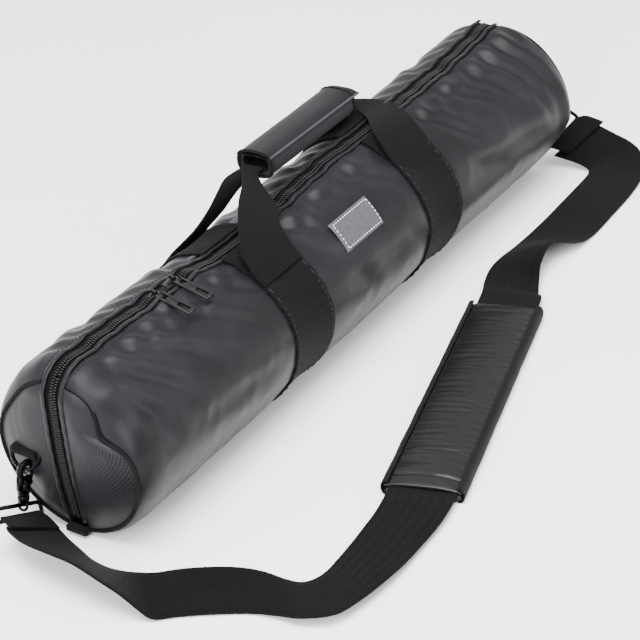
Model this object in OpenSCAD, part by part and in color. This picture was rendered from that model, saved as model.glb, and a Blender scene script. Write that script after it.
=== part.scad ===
// Padded tube bag for a small telescope or tripod: zipped along the top and down the near end,
// two webbing handles joined by a padded grip, and a shoulder strap on swivel hooks.
// X runs along the bag to its far end, Y runs to the back, Z is up, and the floor is z = 0.

/* [Bag] */
// Half the length between the two end seams
half_len = 294.5; // [260:0.5:295]
// Outer radius of the stuffed tube
bag_r = 67.5; // [67:0.5:68]
// Height of the tube's axis above the floor
axis_z = 66; // [65.8:0.1:66.4]
// Thickness of the outer nylon cloth
cloth_t = 1.2; // [1:0.1:1.2]
// Thickness of the foam padding
foam_t = 5; // [3:0.5:5]
// Thickness of the lining cloth
lining_t = 0.8; // [0.5:0.1:1]
// Thickness of a closed end panel, cloth and seam together
end_t = 4.4; // [4:0.1:4.4]

/* [Zip] */
// Half the gap that the zip tapes bridge
zip_half_gap = 16; // [15:0.5:17]
// Half the clear slot between the two rows of teeth
zip_slot = 0.9; // [0.8:0.05:1]
// How far each row of teeth reaches from the middle
teeth_reach = 3.2; // [3:0.1:3.4]
// Thickness of the zip tape
tape_t = 0.8; // [0.6:0.1:0.8]
// Height of a row of teeth
teeth_h = 2.2; // [2:0.1:2.2]
// Place of the first slider along the bag, nearer the near end
slider_b_x = -190; // [-195:1:-186]
// Place of the second slider along the bag
slider_a_x = -168; // [-170:1:-164]
// Length of a pull tab
pull_len = 34; // [30:1:36]

/* [Webbing and handles] */
// Width of the webbing of the handles and of the strap
web_w = 50; // [48:1:50]
// Thickness of the webbing
web_t = 1.6; // [1.4:0.1:1.6]
// Distance of each handle band from the middle of the bag
band_x = 95; // [94:1:96]
// Length of the padded grip
grip_len = 150; // [146:1:152]
// Place of the grip's middle along the bag
grip_x = 45; // [44:1:46]

/* [Strap fittings] */
// Radius of the wire of the D-rings and of the strap loops
wire_r = 1.6; // [1.4:0.1:1.7]
// Half the inside width of a D-ring
dring_half = 13; // [12.5:0.5:13.5]
// Length of the shoulder pad
pad_len = 245; // [240:1:248]
// Width of the shoulder pad over its binding
pad_w = 61; // [61:0.5:64]

/* [Hidden] */

$fn = 64;
gap = 0.2;
body_color = "#26262a";
web_color = "#1c1c1f";
foam_color = "#3a3a3e";
metal_color = "#101012";
steel_color = "#8c8f94";
tape_color = "#18181a";

foam_r = bag_r - cloth_t - gap;
lining_r = foam_r - foam_t - gap;
lining_in = lining_r - lining_t;
tube_x = half_len;
// top of the cloth beside the zip, and the stack of tape and teeth that bridges it
tape_z = axis_z + sqrt(pow(foam_r, 2) - pow(zip_half_gap, 2)) - tape_t - 0.7;
teeth_z = tape_z + tape_t;
teeth_top = teeth_z + teeth_h;

// ---- sections across the bag, drawn in Y and Z and run along X ----

module along_x(x0, x1) {
  translate([x0, 0, 0]) rotate([90, 0, 90]) linear_extrude(x1 - x0) children();
}

// A round section of radius r about the bag's axis, cut flat at height floor_z
module bag_round(r, floor_z) {
  intersection() {
    translate([0, axis_z]) circle(r, $fn = 96);
    translate([-2 * r, floor_z]) square([4 * r, 4 * r]);
  }
}

// Wedge between angles a0 and a1, counted from straight up towards the front
module wedge(a0, a1) {
  reach = 3 * bag_r;
  steps = 6;
  translate([0, axis_z]) polygon(concat([[0, 0]],
    [for (i = [0 : steps]) let (a = a0 + (a1 - a0) * i / steps) [-reach * sin(a), reach * cos(a)]]));
}

// A layer of the wall from radius r inwards by t, between two angles
module wall(r, t, floor_z, a0, a1) {
  intersection() {
    difference() {
      bag_round(r, floor_z);
      bag_round(r - t, floor_z + t);
    }
    wedge(a0, a1);
  }
}

zip_a = asin(zip_half_gap / bag_r);
seam_a = 150;
foam_a = 19;

module front_panel() { color(body_color) along_x(-tube_x, tube_x) wall(bag_r, cloth_t, 0, zip_a, seam_a); }
module back_panel() { color(body_color) along_x(-tube_x, tube_x) wall(bag_r, cloth_t, 0, -zip_a, -seam_a); }
module base_panel() {
  color(body_color) along_x(-tube_x, tube_x) wall(bag_r, cloth_t, 0, seam_a + 0.1, 360 - seam_a - 0.1);
}
module front_foam() {
  color(foam_color) along_x(-tube_x, tube_x) wall(foam_r, foam_t, cloth_t + gap, foam_a, seam_a);
}
module back_foam() {
  color(foam_color) along_x(-tube_x, tube_x) wall(foam_r, foam_t, cloth_t + gap, -foam_a, -seam_a);
}
module base_foam() {
  color(foam_color) along_x(-tube_x, tube_x)
    wall(foam_r, foam_t, cloth_t + gap, seam_a + 0.3, 360 - seam_a - 0.3);
}
module lining() {
  color("#4a4a50") along_x(-tube_x, tube_x - foam_t - 2 * gap)
    difference() {
      bag_round(lining_r, cloth_t + foam_t + 2 * gap);
      bag_round(lining_in, cloth_t + foam_t + lining_t + 2 * gap);
      wedge(-foam_a, foam_a);
    }
}

// ---- ends ----

flap_in = -(tube_x + 0.8);
flap_out = flap_in - foam_t - gap - end_t;
end_r = bag_r - 1;

module half_end(front) {
  intersection() {
    bag_round(end_r, 2);
    translate([front ? -bag_r - zip_half_gap : zip_half_gap, -1]) square([bag_r, 3 * bag_r]);
  }
}

module far_end_panel() { color(body_color) along_x(tube_x + 0.3, tube_x + 0.3 + end_t) bag_round(end_r, 0.5); }
module far_end_foam() {
  color(foam_color) along_x(tube_x - foam_t, tube_x)
    bag_round(lining_in - gap, cloth_t + foam_t + lining_t + 3 * gap);
}
module near_end_back_panel() { color(body_color) along_x(flap_out, flap_out + end_t) half_end(false); }
module near_end_back_foam() { color(foam_color) along_x(flap_in - foam_t, flap_in) half_end(false); }
module near_end_flap() { color(body_color) along_x(flap_out, flap_out + end_t) half_end(true); }
module near_flap_foam() { color(foam_color) along_x(flap_in - foam_t, flap_in) half_end(true); }

// ---- zip ----

zip_foot = 15;
tape_reach = zip_half_gap + 2;
end_tape_x = flap_out + end_t + gap;
end_teeth_x = flap_out + end_t - 0.2 - teeth_h;

module zip_strip(side, reach, z, h) {
  translate([-tube_x, side > 0 ? zip_slot : -reach, z]) cube([2 * tube_x, reach - zip_slot, h]);
}
module end_strip(side, reach, x, t) {
  translate([x, side > 0 ? zip_slot : -reach, zip_foot])
    cube([t, reach - zip_slot, teeth_top - zip_foot - 0.2]);
}

module zip_tape_front() { color(tape_color) zip_strip(-1, tape_reach, tape_z, tape_t); }
module zip_tape_back() {
  color(tape_color) {
    zip_strip(1, tape_reach, tape_z, tape_t);
    end_strip(1, zip_half_gap - gap, end_tape_x - tape_t, tape_t);
  }
}
module zip_teeth_front() { color("#2a2a2c") zip_strip(-1, teeth_reach, teeth_z, teeth_h); }
module zip_teeth_back() {
  color("#2a2a2c") {
    zip_strip(1, teeth_reach, teeth_z, teeth_h);
    end_strip(1, teeth_reach, end_tape_x - tape_t - teeth_h, teeth_h);
  }
}
module flap_zip_tape() { color(tape_color) end_strip(-1, zip_half_gap - gap, end_tape_x - tape_t, tape_t); }
module flap_zip_teeth() {
  color("#2a2a2c") end_strip(-1, teeth_reach, end_tape_x - tape_t - teeth_h, teeth_h);
}
// Folded cloth tabs that finish the zip at its two ends
module zip_tab_far() {
  color(body_color) translate([tube_x + 0.3 + end_t + 0.1, -11, teeth_top - 8]) cube([9, 22, 6]);
}
module zip_tab_near() { color(body_color) translate([flap_out - 6, -9, 3]) cube([6 - 0.1, 18, 5]); }

// Slider: two plates joined by a thin wedge in the slot, with side lips over the tape
slider_len = 15;
slider_half = 5.6;
slider_clear = 0.35;
bail_half = 4.4;
bail_r = 0.9;
bail_z = teeth_top + 5;

module slider(x) {
  top_z = teeth_top + slider_clear;
  low_z = tape_z - slider_clear;
  color(metal_color) translate([x, 0, 0]) {
    translate([-slider_len / 2, -slider_half, top_z]) cube([slider_len, 2 * slider_half, 1.4]);
    translate([-slider_len / 2, -slider_half, low_z - 1.4]) cube([slider_len, 2 * slider_half, 1.4]);
    translate([-slider_len / 2, -zip_slot + 0.3, low_z - 0.1])
      cube([4, 2 * zip_slot - 0.6, top_z - low_z + 0.2]);
    for (side = [-1, 1]) translate([-slider_len / 2, side > 0 ? teeth_reach + slider_clear : -slider_half,
        teeth_z + slider_clear])
      cube([slider_len, slider_half - teeth_reach - slider_clear, top_z - teeth_z]);
    // bail: a pin along the track on two posts
    translate([-bail_half, 0, bail_z]) rotate([0, 90, 0]) cylinder(r = bail_r, h = 2 * bail_half);
    for (side = [-1, 1]) translate([side * (bail_half - 0.6) - 0.6, -0.7, top_z + 1])
      cube([1.2, 1.4, bail_z - top_z - 1]);
  }
}

// Pull: an eye on the bail pin, a short neck and a flat tab with a window, lying on the front
tab_w = 9;
tab_t = 1.5;
pull_slope = 12.5;
module pull(x) {
  color(metal_color) translate([x, 0, bail_z]) {
    difference() {
      union() {
        translate([-1.9, 0, 0]) rotate([0, 90, 0]) cylinder(r = bail_r + 1.1, h = 3.8);
        translate([-1.9, -6.5, -0.6]) cube([3.8, 5.4, 1.4]);
      }
      translate([-3, 0, 0]) rotate([0, 90, 0]) cylinder(r = bail_r + 0.1, h = 6);
    }
    translate([0, -5.8, 0.1]) rotate([pull_slope, 0, 0]) difference() {
      union() {
        translate([-tab_w / 2, -pull_len + tab_w / 2, -tab_t / 2]) cube([tab_w, pull_len - tab_w / 2, tab_t]);
        translate([0, -pull_len + tab_w / 2, -tab_t / 2]) cylinder(r = tab_w / 2, h = tab_t);
      }
      translate([-2.2, -pull_len + 3, -tab_t]) cube([4.4, 9, 2 * tab_t]);
      translate([-2.2, -9, -tab_t]) cube([4.4, 5, 2 * tab_t]);
    }
  }
}
module slider_a() { slider(slider_a_x); }
module slider_b() { slider(slider_b_x); }
module pull_a() { pull(slider_a_x); }
module pull_b() { pull(slider_b_x); }

// ---- bands, label and handles ----

module band(x, side) {
  color(web_color) along_x(x - web_w / 2, x + web_w / 2)
    wall(bag_r + 0.1 + web_t, web_t, 0, side * (zip_a + 1), side * (seam_a - 6));
}
module band_front_near() { band(-band_x, 1); }
module band_front_far() { band(band_x, 1); }
module band_back_near() { band(-band_x, -1); }
module band_back_far() { band(band_x, -1); }
module label_patch() { color("#77787c") along_x(-32, 19) wall(bag_r + 0.9, 0.8, 0, 40, 62); }

function lerp(a, b, t) = a + (b - a) * t;
function unit(v) = v / norm(v);
function mid(e) = (e[0] + e[1]) / 2;
// Direction of travel at station i of a list of edge pairs
function travel(s, i) = unit(mid(s[min(i + 1, len(s) - 1)]) - mid(s[max(i - 1, 0)]));
function face_normal(s, i) = unit(cross(travel(s, i), s[i][1] - s[i][0]));

// A flat ribbon swept through stations, each the two edge points of its middle plane
module ribbon(s, t) {
  n = len(s);
  pts = [for (i = [0 : n - 1]) let (u = face_normal(s, i) * t / 2)
    each [s[i][0] - u, s[i][1] - u, s[i][1] + u, s[i][0] + u]];
  // Both faces of the cloth are split along the same diagonal, so a twist keeps its thickness
  sides = [for (i = [0 : n - 2]) for (k = [0 : 3])
    let (a = 4 * i + k, b = 4 * i + (k + 1) % 4)
    each k < 2 ? [[a, b, b + 4], [a, b + 4, a + 4]] : [[a, b, a + 4], [b, b + 4, a + 4]]];
  polyhedron(pts, concat([[0, 3, 2], [0, 2, 1]], sides,
    [[4 * n - 4, 4 * n - 3, 4 * n - 2], [4 * n - 4, 4 * n - 2, 4 * n - 1]]));
}

grip_y = 28;
grip_z = 150;
grip_half = grip_len / 2;
grip_w = 35;
grip_h = 24;

// The free webbing from a near band to the near end of the grip: broad across X, then folded
module near_leg(y0, z0, dz) {
  gx = grip_x - grip_half - 0.3;
  x0 = -band_x + web_w / 2;
  x1 = -band_x - web_w / 2;
  color(web_color) ribbon([[[x0, y0, z0], [x1, y0, z0]],
    [[lerp(x0, gx, 0.35), y0 + 11, z0 + 8], [lerp(x1, gx, 0.3), y0 + 6, z0 + 10]],
    [[gx, grip_y - 13, grip_z + dz], [gx, grip_y + 13, grip_z + dz]]], web_t);
}
// The far webbing meets the grip where it lies over the band; yz lists its course
module far_leg(yz) {
  color(web_color) ribbon([for (p = yz) [[band_x - web_w / 2, p[0], p[1]], [band_x + web_w / 2, p[0], p[1]]]],
    web_t);
}
front_leg_yz = [[-3, 141.5], [0, 147], [5, 150.5], [9.5, 150.8]];
back_leg_yz = [[12, 135.4], [18, 136.4], [25, 137]];
module handle_front() {
  near_leg(-3, 141.5, 3);
  far_leg(front_leg_yz);
}
module handle_back() {
  near_leg(13, 139.5, -3);
  far_leg(back_leg_yz);
}

module rounded(w, h, r) {
  for (sx = [-1, 1]) for (sz = [-1, 1]) translate([sx * (w / 2 - r), sz * (h / 2 - r)]) circle(r);
  square([w, h - 2 * r], center = true);
  square([w - 2 * r, h], center = true);
}
module at_grip() { along_x(grip_x - grip_half, grip_x + grip_half) translate([grip_y, grip_z]) children(); }

flap_z = 7.5;
module grip_core() { color(foam_color) at_grip() rounded(26, 13, 5); }
module grip_wrap() {
  color(body_color) at_grip() difference() {
    rounded(grip_w, grip_h, 10);
    rounded(grip_w - 8, grip_h - 8, 7);
    translate([-grip_w / 2 - 1, flap_z - 0.4]) square([grip_w + 2, grip_h]);
  }
}
module grip_flap() {
  color(body_color) at_grip() intersection() {
    difference() {
      rounded(grip_w, grip_h, 10);
      rounded(grip_w - 8, grip_h - 8, 7);
    }
    translate([-grip_w / 2 - 1, flap_z]) square([grip_w + 2, grip_h]);
  }
}

// ---- D-rings, hooks and strap loops ----

dring_x = 311;
dring_y = 33;
dring_z = 65;
// How far the hook's pull holds the D-ring out from the bag's end
dring_tilt = 25;
hook_lean = 22;
// The middle of the swivel eye and of the D-ring, on the near end and on the far end
near_ring = [-dring_x, dring_y, dring_z];
far_ring = [dring_x, -dring_y - 7, dring_z];
near_eye = [-326, 31, 29];
far_eye = [326, -40, 29];

module rod(a, b, r) {
  d = b - a;
  translate(a) rotate([0, acos(d[2] / norm(d)), atan2(d[1], d[0])]) cylinder(r = r, h = norm(d), $fn = 24);
}
module knuckle(a, r) { translate(a) sphere(r, $fn = 24); }

module dring(at, out) {
  color(steel_color) translate(at) rotate([0, -out * dring_tilt, 0]) {
    translate([0, -dring_half, 0]) rotate([-90, 0, 0]) cylinder(r = wire_r, h = 2 * dring_half);
    rotate([90, 0, 90]) rotate([0, 0, 180])
      rotate_extrude(angle = 180) translate([dring_half, 0]) circle(wire_r);
    for (side = [-1, 1]) knuckle([0, side * dring_half, 0], wire_r);
  }
}
// A folded webbing tab that holds the bar of a D-ring against the end of the bag
module dring_tab(at, out) {
  tab_half = 10;
  face_x = out > 0 ? tube_x + 0.3 + end_t + 0.1 : -flap_out + 0.1;
  ax = abs(at[0]);
  color(web_color) difference() {
    union() {
      translate([out * ax, at[1] - tab_half, at[2]]) rotate([-90, 0, 0]) cylinder(r = wire_r + 1.8, h = 2 * tab_half);
      translate([out > 0 ? face_x : -ax, at[1] - tab_half, at[2] - 3.4])
        cube([ax - face_x, 2 * tab_half, 6.8]);
      translate([out > 0 ? face_x : -face_x - 2.4, at[1] - tab_half, at[2] - 24])
        cube([2.4, 2 * tab_half, 26]);
    }
    translate([out * ax, at[1] - 2 * tab_half, at[2]]) rotate([-90, 0, 0])
      cylinder(r = wire_r + 0.1, h = 4 * tab_half);
  }
}
module dring_tab_near() { dring_tab(near_ring, -1); }
module dring_tab_far() { dring_tab(far_ring, 1); }
module dring_near() { dring(near_ring, -1); }
module dring_far() { dring(far_ring, 1); }

// Snap hook in its own plane: u across, w up from the swivel eye, thin along Y
hook_t = 5;
bow_w = 25;
bow_r = 8.2;
bow_in = 5;
module hook_frame(at, out) {
  translate(at) mirror([out > 0 ? 1 : 0, 0, 0]) rotate([0, hook_lean, 0]) children();
}
module plate(t) { translate([0, t / 2, 0]) rotate([90, 0, 0]) linear_extrude(t) children(); }
module hook_shape() {
  difference() {
    union() {
      translate([0, bow_w]) circle(bow_r);
      translate([-4.5, 6]) square([9, 15]);
    }
    translate([0, bow_w]) circle(bow_in);
    translate([2.5, 16.4]) square([8, 10.4]);
  }
}
module hook(at, out) {
  color(metal_color) hook_frame(at, out) {
    plate(hook_t) hook_shape();
    translate([0, 0, 3.4]) cylinder(r = 4, h = 3);
  }
}
module gate(at, out) {
  color(steel_color) hook_frame(at, out) plate(hook_t - 2) translate([5, 16.9]) square([2.4, 9.4]);
}
// The eye that the strap loop runs through, with the stub that the hook turns on
module swivel(at, out) {
  color(steel_color) hook_frame(at, out) {
    difference() {
      cylinder(r = 4.6, h = 6, center = true);
      rotate([0, 90, 0]) cylinder(r = wire_r + 0.9, h = 12, center = true);
      rotate([90, 0, 0]) cylinder(r = wire_r + 0.9, h = 12, center = true);
    }
  }
}
module hook_near() { hook(near_eye, -1); }
module hook_far() { hook(far_eye, 1); }
module gate_near() { gate(near_eye, -1); }
module gate_far() { gate(far_eye, 1); }
module swivel_near() { swivel(near_eye, -1); }
module swivel_far() { swivel(far_eye, 1); }

// Four-sided wire loops: the webbing bar first, then the bar that runs through the swivel eye
near_loop = [[-307.5, 33, 7], [-354.6, 35.2, 29.7], [-357.6, 31.7, 44.9], [-310.5, 30.5, 21.2]];
far_loop = [[306, -42, 15], [351, -53, 31], [349, -43, 38], [303, -37, 20]];
module strap_loop(c) {
  color(steel_color) for (i = [0 : 3]) {
    rod(c[i], c[(i + 1) % 4], wire_r);
    knuckle(c[i], wire_r + 0.25);
  }
}
module strap_loop_near() { strap_loop(near_loop); }
module strap_loop_far() { strap_loop(far_loop); }

// ---- shoulder strap and pad ----

pad_at = [-45, -166, 0];
pad_turn = 15.5;
strap_pad_z = 7;
pad_half = pad_len / 2;
pad_travel = 12;
// A point s along the pad from its middle and n towards the bag
function on_pad(s, n) = [pad_at[0] + s * cos(pad_turn) - n * sin(pad_turn),
  pad_at[1] + s * sin(pad_turn) + n * cos(pad_turn), strap_pad_z];
pad_clear = pad_half + pad_travel + 3;

// Inner and outer edge of the webbing, from the near loop over the floor, through the pad, to the far loop
strap_route = [
  [[-308, 27, 4.5], [-350, 30, 24.5]], [[-312, 14, 2], [-354, 25, 25]], [[-318, 0, 2], [-360, 5, 27]],
  [[-323, -14, 2], [-362, -23, 30]], [[-328, -28, 2], [-364, -46, 31]], [[-330, -44, 2], [-366, -68, 27]],
  [[-328, -57, 2], [-365, -85, 20]], [[-324, -68, 2], [-363, -98, 10]], [[-319, -78, 2], [-360, -107, 3]],
  [[-308, -91, 2], [-349, -120, 2]], [[-297, -108, 2], [-336, -140, 2]], [[-288, -127, 2], [-324, -162, 2]],
  [[-284, -145, 2], [-320, -180, 4]], [[-284, -163, 2], [-319, -198, 8]], [[-281, -176, 2], [-310, -216, 10]],
  [[-268, -183, 2], [-296, -224, 10]], [[-245, -183, 2], [-260, -230, 9]], [[-214, -181, 3], [-221, -230, 6]],
  [on_pad(-pad_clear, web_w / 2), on_pad(-pad_clear, -web_w / 2)],
  [on_pad(pad_clear, web_w / 2), on_pad(pad_clear, -web_w / 2)],
  [[106, -94, 3], [108, -144, 4]], [[128, -87, 2], [124, -136, 8]], [[147, -86, 2], [136, -132, 17]],
  [[166, -88, 2], [157, -132, 24]], [[190, -89, 2], [188, -138, 8]], [[220, -89, 2], [214, -139, 2]],
  [[250, -88, 2], [250, -138, 2]], [[278, -87, 2], [290, -136, 2]], [[300, -86, 2], [322, -131, 4]],
  [[310, -84, 3], [346, -118, 10]], [[313, -78, 5], [355, -103, 14]], [[312, -68, 8], [354, -88, 20]],
  [[309, -50, 12], [353, -66, 28]]];

module shoulder_strap() { color(web_color) ribbon(strap_route, web_t); }

// The webbing folded over a loop bar and sewn back under itself
module strap_end_near() {
  color(web_color) ribbon([[[-310.5, 33.2, 12.2], [-349, 35, 30.9]], [[-311, 24, 10.2], [-350.5, 30.5, 30.4]],
    [[-314, 12, 6], [-354, 21.5, 29.8]]], web_t);
}
module strap_end_far() {
  color(web_color) ribbon([[[309, -44.6, 19], [347, -54.3, 32.9]], [[310, -50, 18.6], [351, -62, 34.2]],
    [[313, -62, 14.8], [354, -77, 29.8]]], web_t);
}

module on_pad_frame() { translate(pad_at) rotate([0, 0, pad_turn]) children(); }
pad_in = pad_w / 2 - 2.5;
module pad_layer(z, h) {
  on_pad_frame() translate([-pad_half, -pad_in, z]) cube([pad_len, 2 * pad_in, h]);
}
module pad_base() { color("#202024") pad_layer(0, strap_pad_z - web_t / 2 - 0.6); }
module pad_cover() {
  color("#2c2c32") pad_layer(strap_pad_z + web_t / 2 + 0.6, 5.6);
}
module pad_binding() {
  color(web_color) on_pad_frame() for (side = [-1, 1])
    translate([-pad_half, side > 0 ? pad_in + 0.1 : -pad_w / 2, 0.6]) cube([pad_len, 2.4, 12.6]);
}

front_panel();
back_panel();
base_panel();
far_end_panel();
near_end_back_panel();
near_end_flap();
front_foam();
back_foam();
base_foam();
far_end_foam();
near_end_back_foam();
near_flap_foam();
lining();
zip_tape_front();
zip_tape_back();
zip_teeth_front();
zip_teeth_back();
flap_zip_tape();
flap_zip_teeth();
zip_tab_far();
zip_tab_near();
slider_a();
slider_b();
pull_a();
pull_b();
band_front_near();
band_front_far();
band_back_near();
band_back_far();
label_patch();
handle_front();
handle_back();
grip_core();
grip_wrap();
grip_flap();
dring_tab_near();
dring_tab_far();
dring_near();
dring_far();
hook_near();
hook_far();
gate_near();
gate_far();
swivel_near();
swivel_far();
strap_loop_near();
strap_loop_far();
shoulder_strap();
strap_end_near();
strap_end_far();
pad_base();
pad_cover();
pad_binding();
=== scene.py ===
# %% [markdown]
# A padded tube bag for a small telescope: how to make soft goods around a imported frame.
#
# The frame holds the sizes and everything that moves. This lesson makes what the eye sees: cloth
# that puckers along a zip, sewn webbing, a coil zip with its sliders, a padded grip, wire fittings
# and a strap that lies on the floor. Everything is in metres, in the frame's own axes.

# %% Load the frame
import math
import bmesh
import bpy
from mathutils import Matrix, Vector, noise


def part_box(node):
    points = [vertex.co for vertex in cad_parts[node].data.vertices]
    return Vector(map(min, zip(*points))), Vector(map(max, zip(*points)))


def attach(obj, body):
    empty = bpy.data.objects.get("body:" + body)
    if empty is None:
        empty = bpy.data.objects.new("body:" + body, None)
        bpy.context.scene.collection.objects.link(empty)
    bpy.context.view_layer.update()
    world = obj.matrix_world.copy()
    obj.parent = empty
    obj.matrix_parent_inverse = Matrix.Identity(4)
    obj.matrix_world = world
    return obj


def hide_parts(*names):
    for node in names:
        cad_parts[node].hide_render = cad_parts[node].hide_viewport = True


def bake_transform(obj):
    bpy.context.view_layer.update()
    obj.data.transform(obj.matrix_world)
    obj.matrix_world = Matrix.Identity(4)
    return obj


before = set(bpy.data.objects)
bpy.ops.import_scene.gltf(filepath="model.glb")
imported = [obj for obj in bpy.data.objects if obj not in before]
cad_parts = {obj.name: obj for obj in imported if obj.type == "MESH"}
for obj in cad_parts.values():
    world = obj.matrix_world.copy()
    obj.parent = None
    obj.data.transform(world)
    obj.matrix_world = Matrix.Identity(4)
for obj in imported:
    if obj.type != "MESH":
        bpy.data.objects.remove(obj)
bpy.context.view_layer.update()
MM = 0.001

# %% [markdown]
# The frame gives the few sizes that everything else is worked out from. The tube's radius comes from
# the panels' boxes, the places of the bands and sliders from theirs; the height of its axis is given.

# %% Sizes from the frame
front_low, front_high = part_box("front_panel")
TUBE_X = front_high.x / MM
BAG_R = -front_low.y / MM
AXIS_Z = 66.0


def centre(node, axis):
    low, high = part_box(node)
    return (low[axis] + high[axis]) / 2 / MM


BAND_X = centre("band_front_far", 0)
SLIDER_A = centre("slider_a", 0)
SLIDER_B = centre("slider_b", 0)
WEB_W = (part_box("band_front_far")[1].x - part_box("band_front_far")[0].x) / MM
print(f"tube {2 * TUBE_X:.0f} mm long, radius {BAG_R:.1f}, bands at {BAND_X:.0f}, webbing {WEB_W:.0f} mm")

# %% [markdown]
# The camera stands in front of the near end and a little above it, and the picture is tilted a few
# degrees. The world is a plain pale studio: a white floor and big soft lights.

# %% Camera, floor and lights
CAM_AZ, CAM_EL, CAM_ROLL = math.radians(-52.8), math.radians(31.9), math.radians(-6.66)
CAM_DIST, CAM_AIM = 1.720, Vector((0.005, 0.0015, 0.0))
FOCAL_OVER_FRAME = 2117 / 640

back = Vector((math.sin(CAM_AZ) * math.cos(CAM_EL), -math.cos(CAM_AZ) * math.cos(CAM_EL), math.sin(CAM_EL)))
camera_data = bpy.data.cameras.new("camera")
camera_data.sensor_width = 36
camera_data.lens = 36 * FOCAL_OVER_FRAME
camera_data.clip_end = 20
camera = bpy.data.objects.new("camera", camera_data)
bpy.context.scene.collection.objects.link(camera)
right = Vector((0, 0, 1)).cross(back).normalized()
up = back.cross(right)
tilted_right = right * math.cos(CAM_ROLL) + up * math.sin(CAM_ROLL)
tilted_up = up * math.cos(CAM_ROLL) - right * math.sin(CAM_ROLL)
camera.matrix_world = Matrix.Translation(CAM_AIM + back * CAM_DIST) @ Matrix(
    (tilted_right, tilted_up, back)).transposed().to_4x4()
bpy.context.scene.camera = camera


def area_light(name, place, aim, size, power):
    data = bpy.data.lights.new(name, "AREA")
    data.shape = "DISK"
    data.size = size
    data.energy = power
    lamp = bpy.data.objects.new(name, data)
    lamp.location = place
    lamp.rotation_euler = (Vector(aim) - Vector(place)).to_track_quat("-Z", "Y").to_euler()
    bpy.context.scene.collection.objects.link(lamp)
    return lamp


area_light("top_softbox", (-0.45, -0.35, 2.0), (0, 0, 0), 1.6, 112)
area_light("side_softbox", (-1.9, -0.4, 1.1), (0, 0, 0.05), 1.2, 48)
area_light("rim_softbox", (1.2, 1.7, 1.3), (0, 0, 0.05), 1.2, 5)
area_light("front_softbox", (0.6, -2.2, 1.2), (0, 0, 0.05), 1.4, 26)
world = bpy.data.worlds.new("studio")
world.use_nodes = True
world.node_tree.nodes["Background"].inputs["Color"].default_value = (1, 1, 1, 1)
world.node_tree.nodes["Background"].inputs["Strength"].default_value = 1.32
bpy.context.scene.world = world
print("camera at", [round(c, 3) for c in camera.matrix_world.translation])

# %% [markdown]
# Every material is built the same way: one function adds a node with its settings and links. Cloth
# carries a UV map in metres of cloth, so a weave keeps its real thread spacing round every curve.

# %% Material helpers


def linear(hex_colour):
    """An sRGB hex colour as linear values, which is what a shader socket takes."""
    value = int(hex_colour.lstrip("#"), 16)
    parts = [((value >> shift) & 255) / 255 for shift in (16, 8, 0)]
    return [c / 12.92 if c <= 0.04045 else ((c + 0.055) / 1.055) ** 2.4 for c in parts] + [1.0]


def add(tree, kind, settings=None, **links):
    """Adds one node; settings are its properties or its sockets' values, links its sockets' sources."""
    made = tree.nodes.new(kind)
    for key, value in (settings or {}).items():
        if isinstance(key, int) or key in made.inputs:
            made.inputs[key].default_value = value
        else:
            setattr(made, key, value)
    for key, source in links.items():
        socket = made.inputs[int(key[1:])] if key[1:].isdigit() else made.inputs[key.replace("_", " ")]
        tree.links.new(socket, source)
    return made


def new_material(name, **values):
    """A material whose Principled shader has these values; returns it, its tree and its shader."""
    material = bpy.data.materials.new(name)
    material.use_nodes = True
    shader = material.node_tree.nodes["Principled BSDF"]
    for key, value in values.items():
        shader.inputs[key.replace("_", " ")].default_value = value
    return material, material.node_tree, shader


def math_node(tree, operation, a, b=None, c=None):
    made = add(tree, "ShaderNodeMath", {"operation": operation})
    for socket, value in zip(made.inputs, (a, b, c)):
        if isinstance(value, (int, float)):
            socket.default_value = value
        elif value is not None:
            tree.links.new(socket, value)
    return made.outputs[0]


def cloth_axes(tree):
    """U and V of the cloth's own map, in millimetres."""
    uv = add(tree, "ShaderNodeUVMap", {"uv_map": "cloth"})
    split = add(tree, "ShaderNodeSeparateXYZ", i0=uv.outputs["UV"])
    return [math_node(tree, "MULTIPLY", split.outputs[k], 1000.0) for k in (0, 1)]


def mottling(tree, scale, detail=3.0):
    """Soft blotches on Object coordinates: random tone and roughness in most materials, painted patches of
    sheen in the woven nylon.
    """
    place = add(tree, "ShaderNodeTexCoord")
    return add(tree, "ShaderNodeTexNoise", {"Scale": scale, "Detail": detail, "Roughness": 0.6},
               Vector=place.outputs["Object"]).outputs["Fac"]


def paint(tree, shader, fac, dark, light, low=0.3, high=0.7):
    """Base colour that runs from dark to light as fac goes from low to high."""
    ramp = add(tree, "ShaderNodeValToRGB", Fac=fac)
    ramp.color_ramp.elements[0].position = low
    ramp.color_ramp.elements[1].position = high
    ramp.color_ramp.elements[0].color = linear(dark)
    ramp.color_ramp.elements[1].color = linear(light)
    tree.links.new(shader.inputs["Base Color"], ramp.outputs["Color"])


def relief(tree, shader, height, strength, depth_mm):
    """Bump from a height of 0 to 1 that stands for depth_mm millimetres."""
    bump = add(tree, "ShaderNodeBump", {"Strength": strength, "Distance": depth_mm * MM}, Height=height)
    tree.links.new(shader.inputs["Normal"], bump.outputs["Normal"])


print("material helpers ready")

# %% [markdown]
# Ballistic nylon is a plain or basket weave of thick, smooth yarn: each crossing is a small shiny
# pillow. Two sine waves at the yarn spacing, multiplied, give the chequer of pillows, and a third
# slanted wave gives the twill line that the eye picks up. The real yarn is about 0.6 mm; it is drawn
# at 1.5 mm so that it shows at the size of the picture.

# %% Woven nylon


def wave(tree, position, pitch_mm, phase=0.0):
    """A sine wave from 0 to 1 with that pitch."""
    angle = math_node(tree, "MULTIPLY_ADD", position, 2 * math.pi / pitch_mm, phase)
    return math_node(tree, "MULTIPLY_ADD", math_node(tree, "SINE", angle), 0.5, 0.5)


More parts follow.
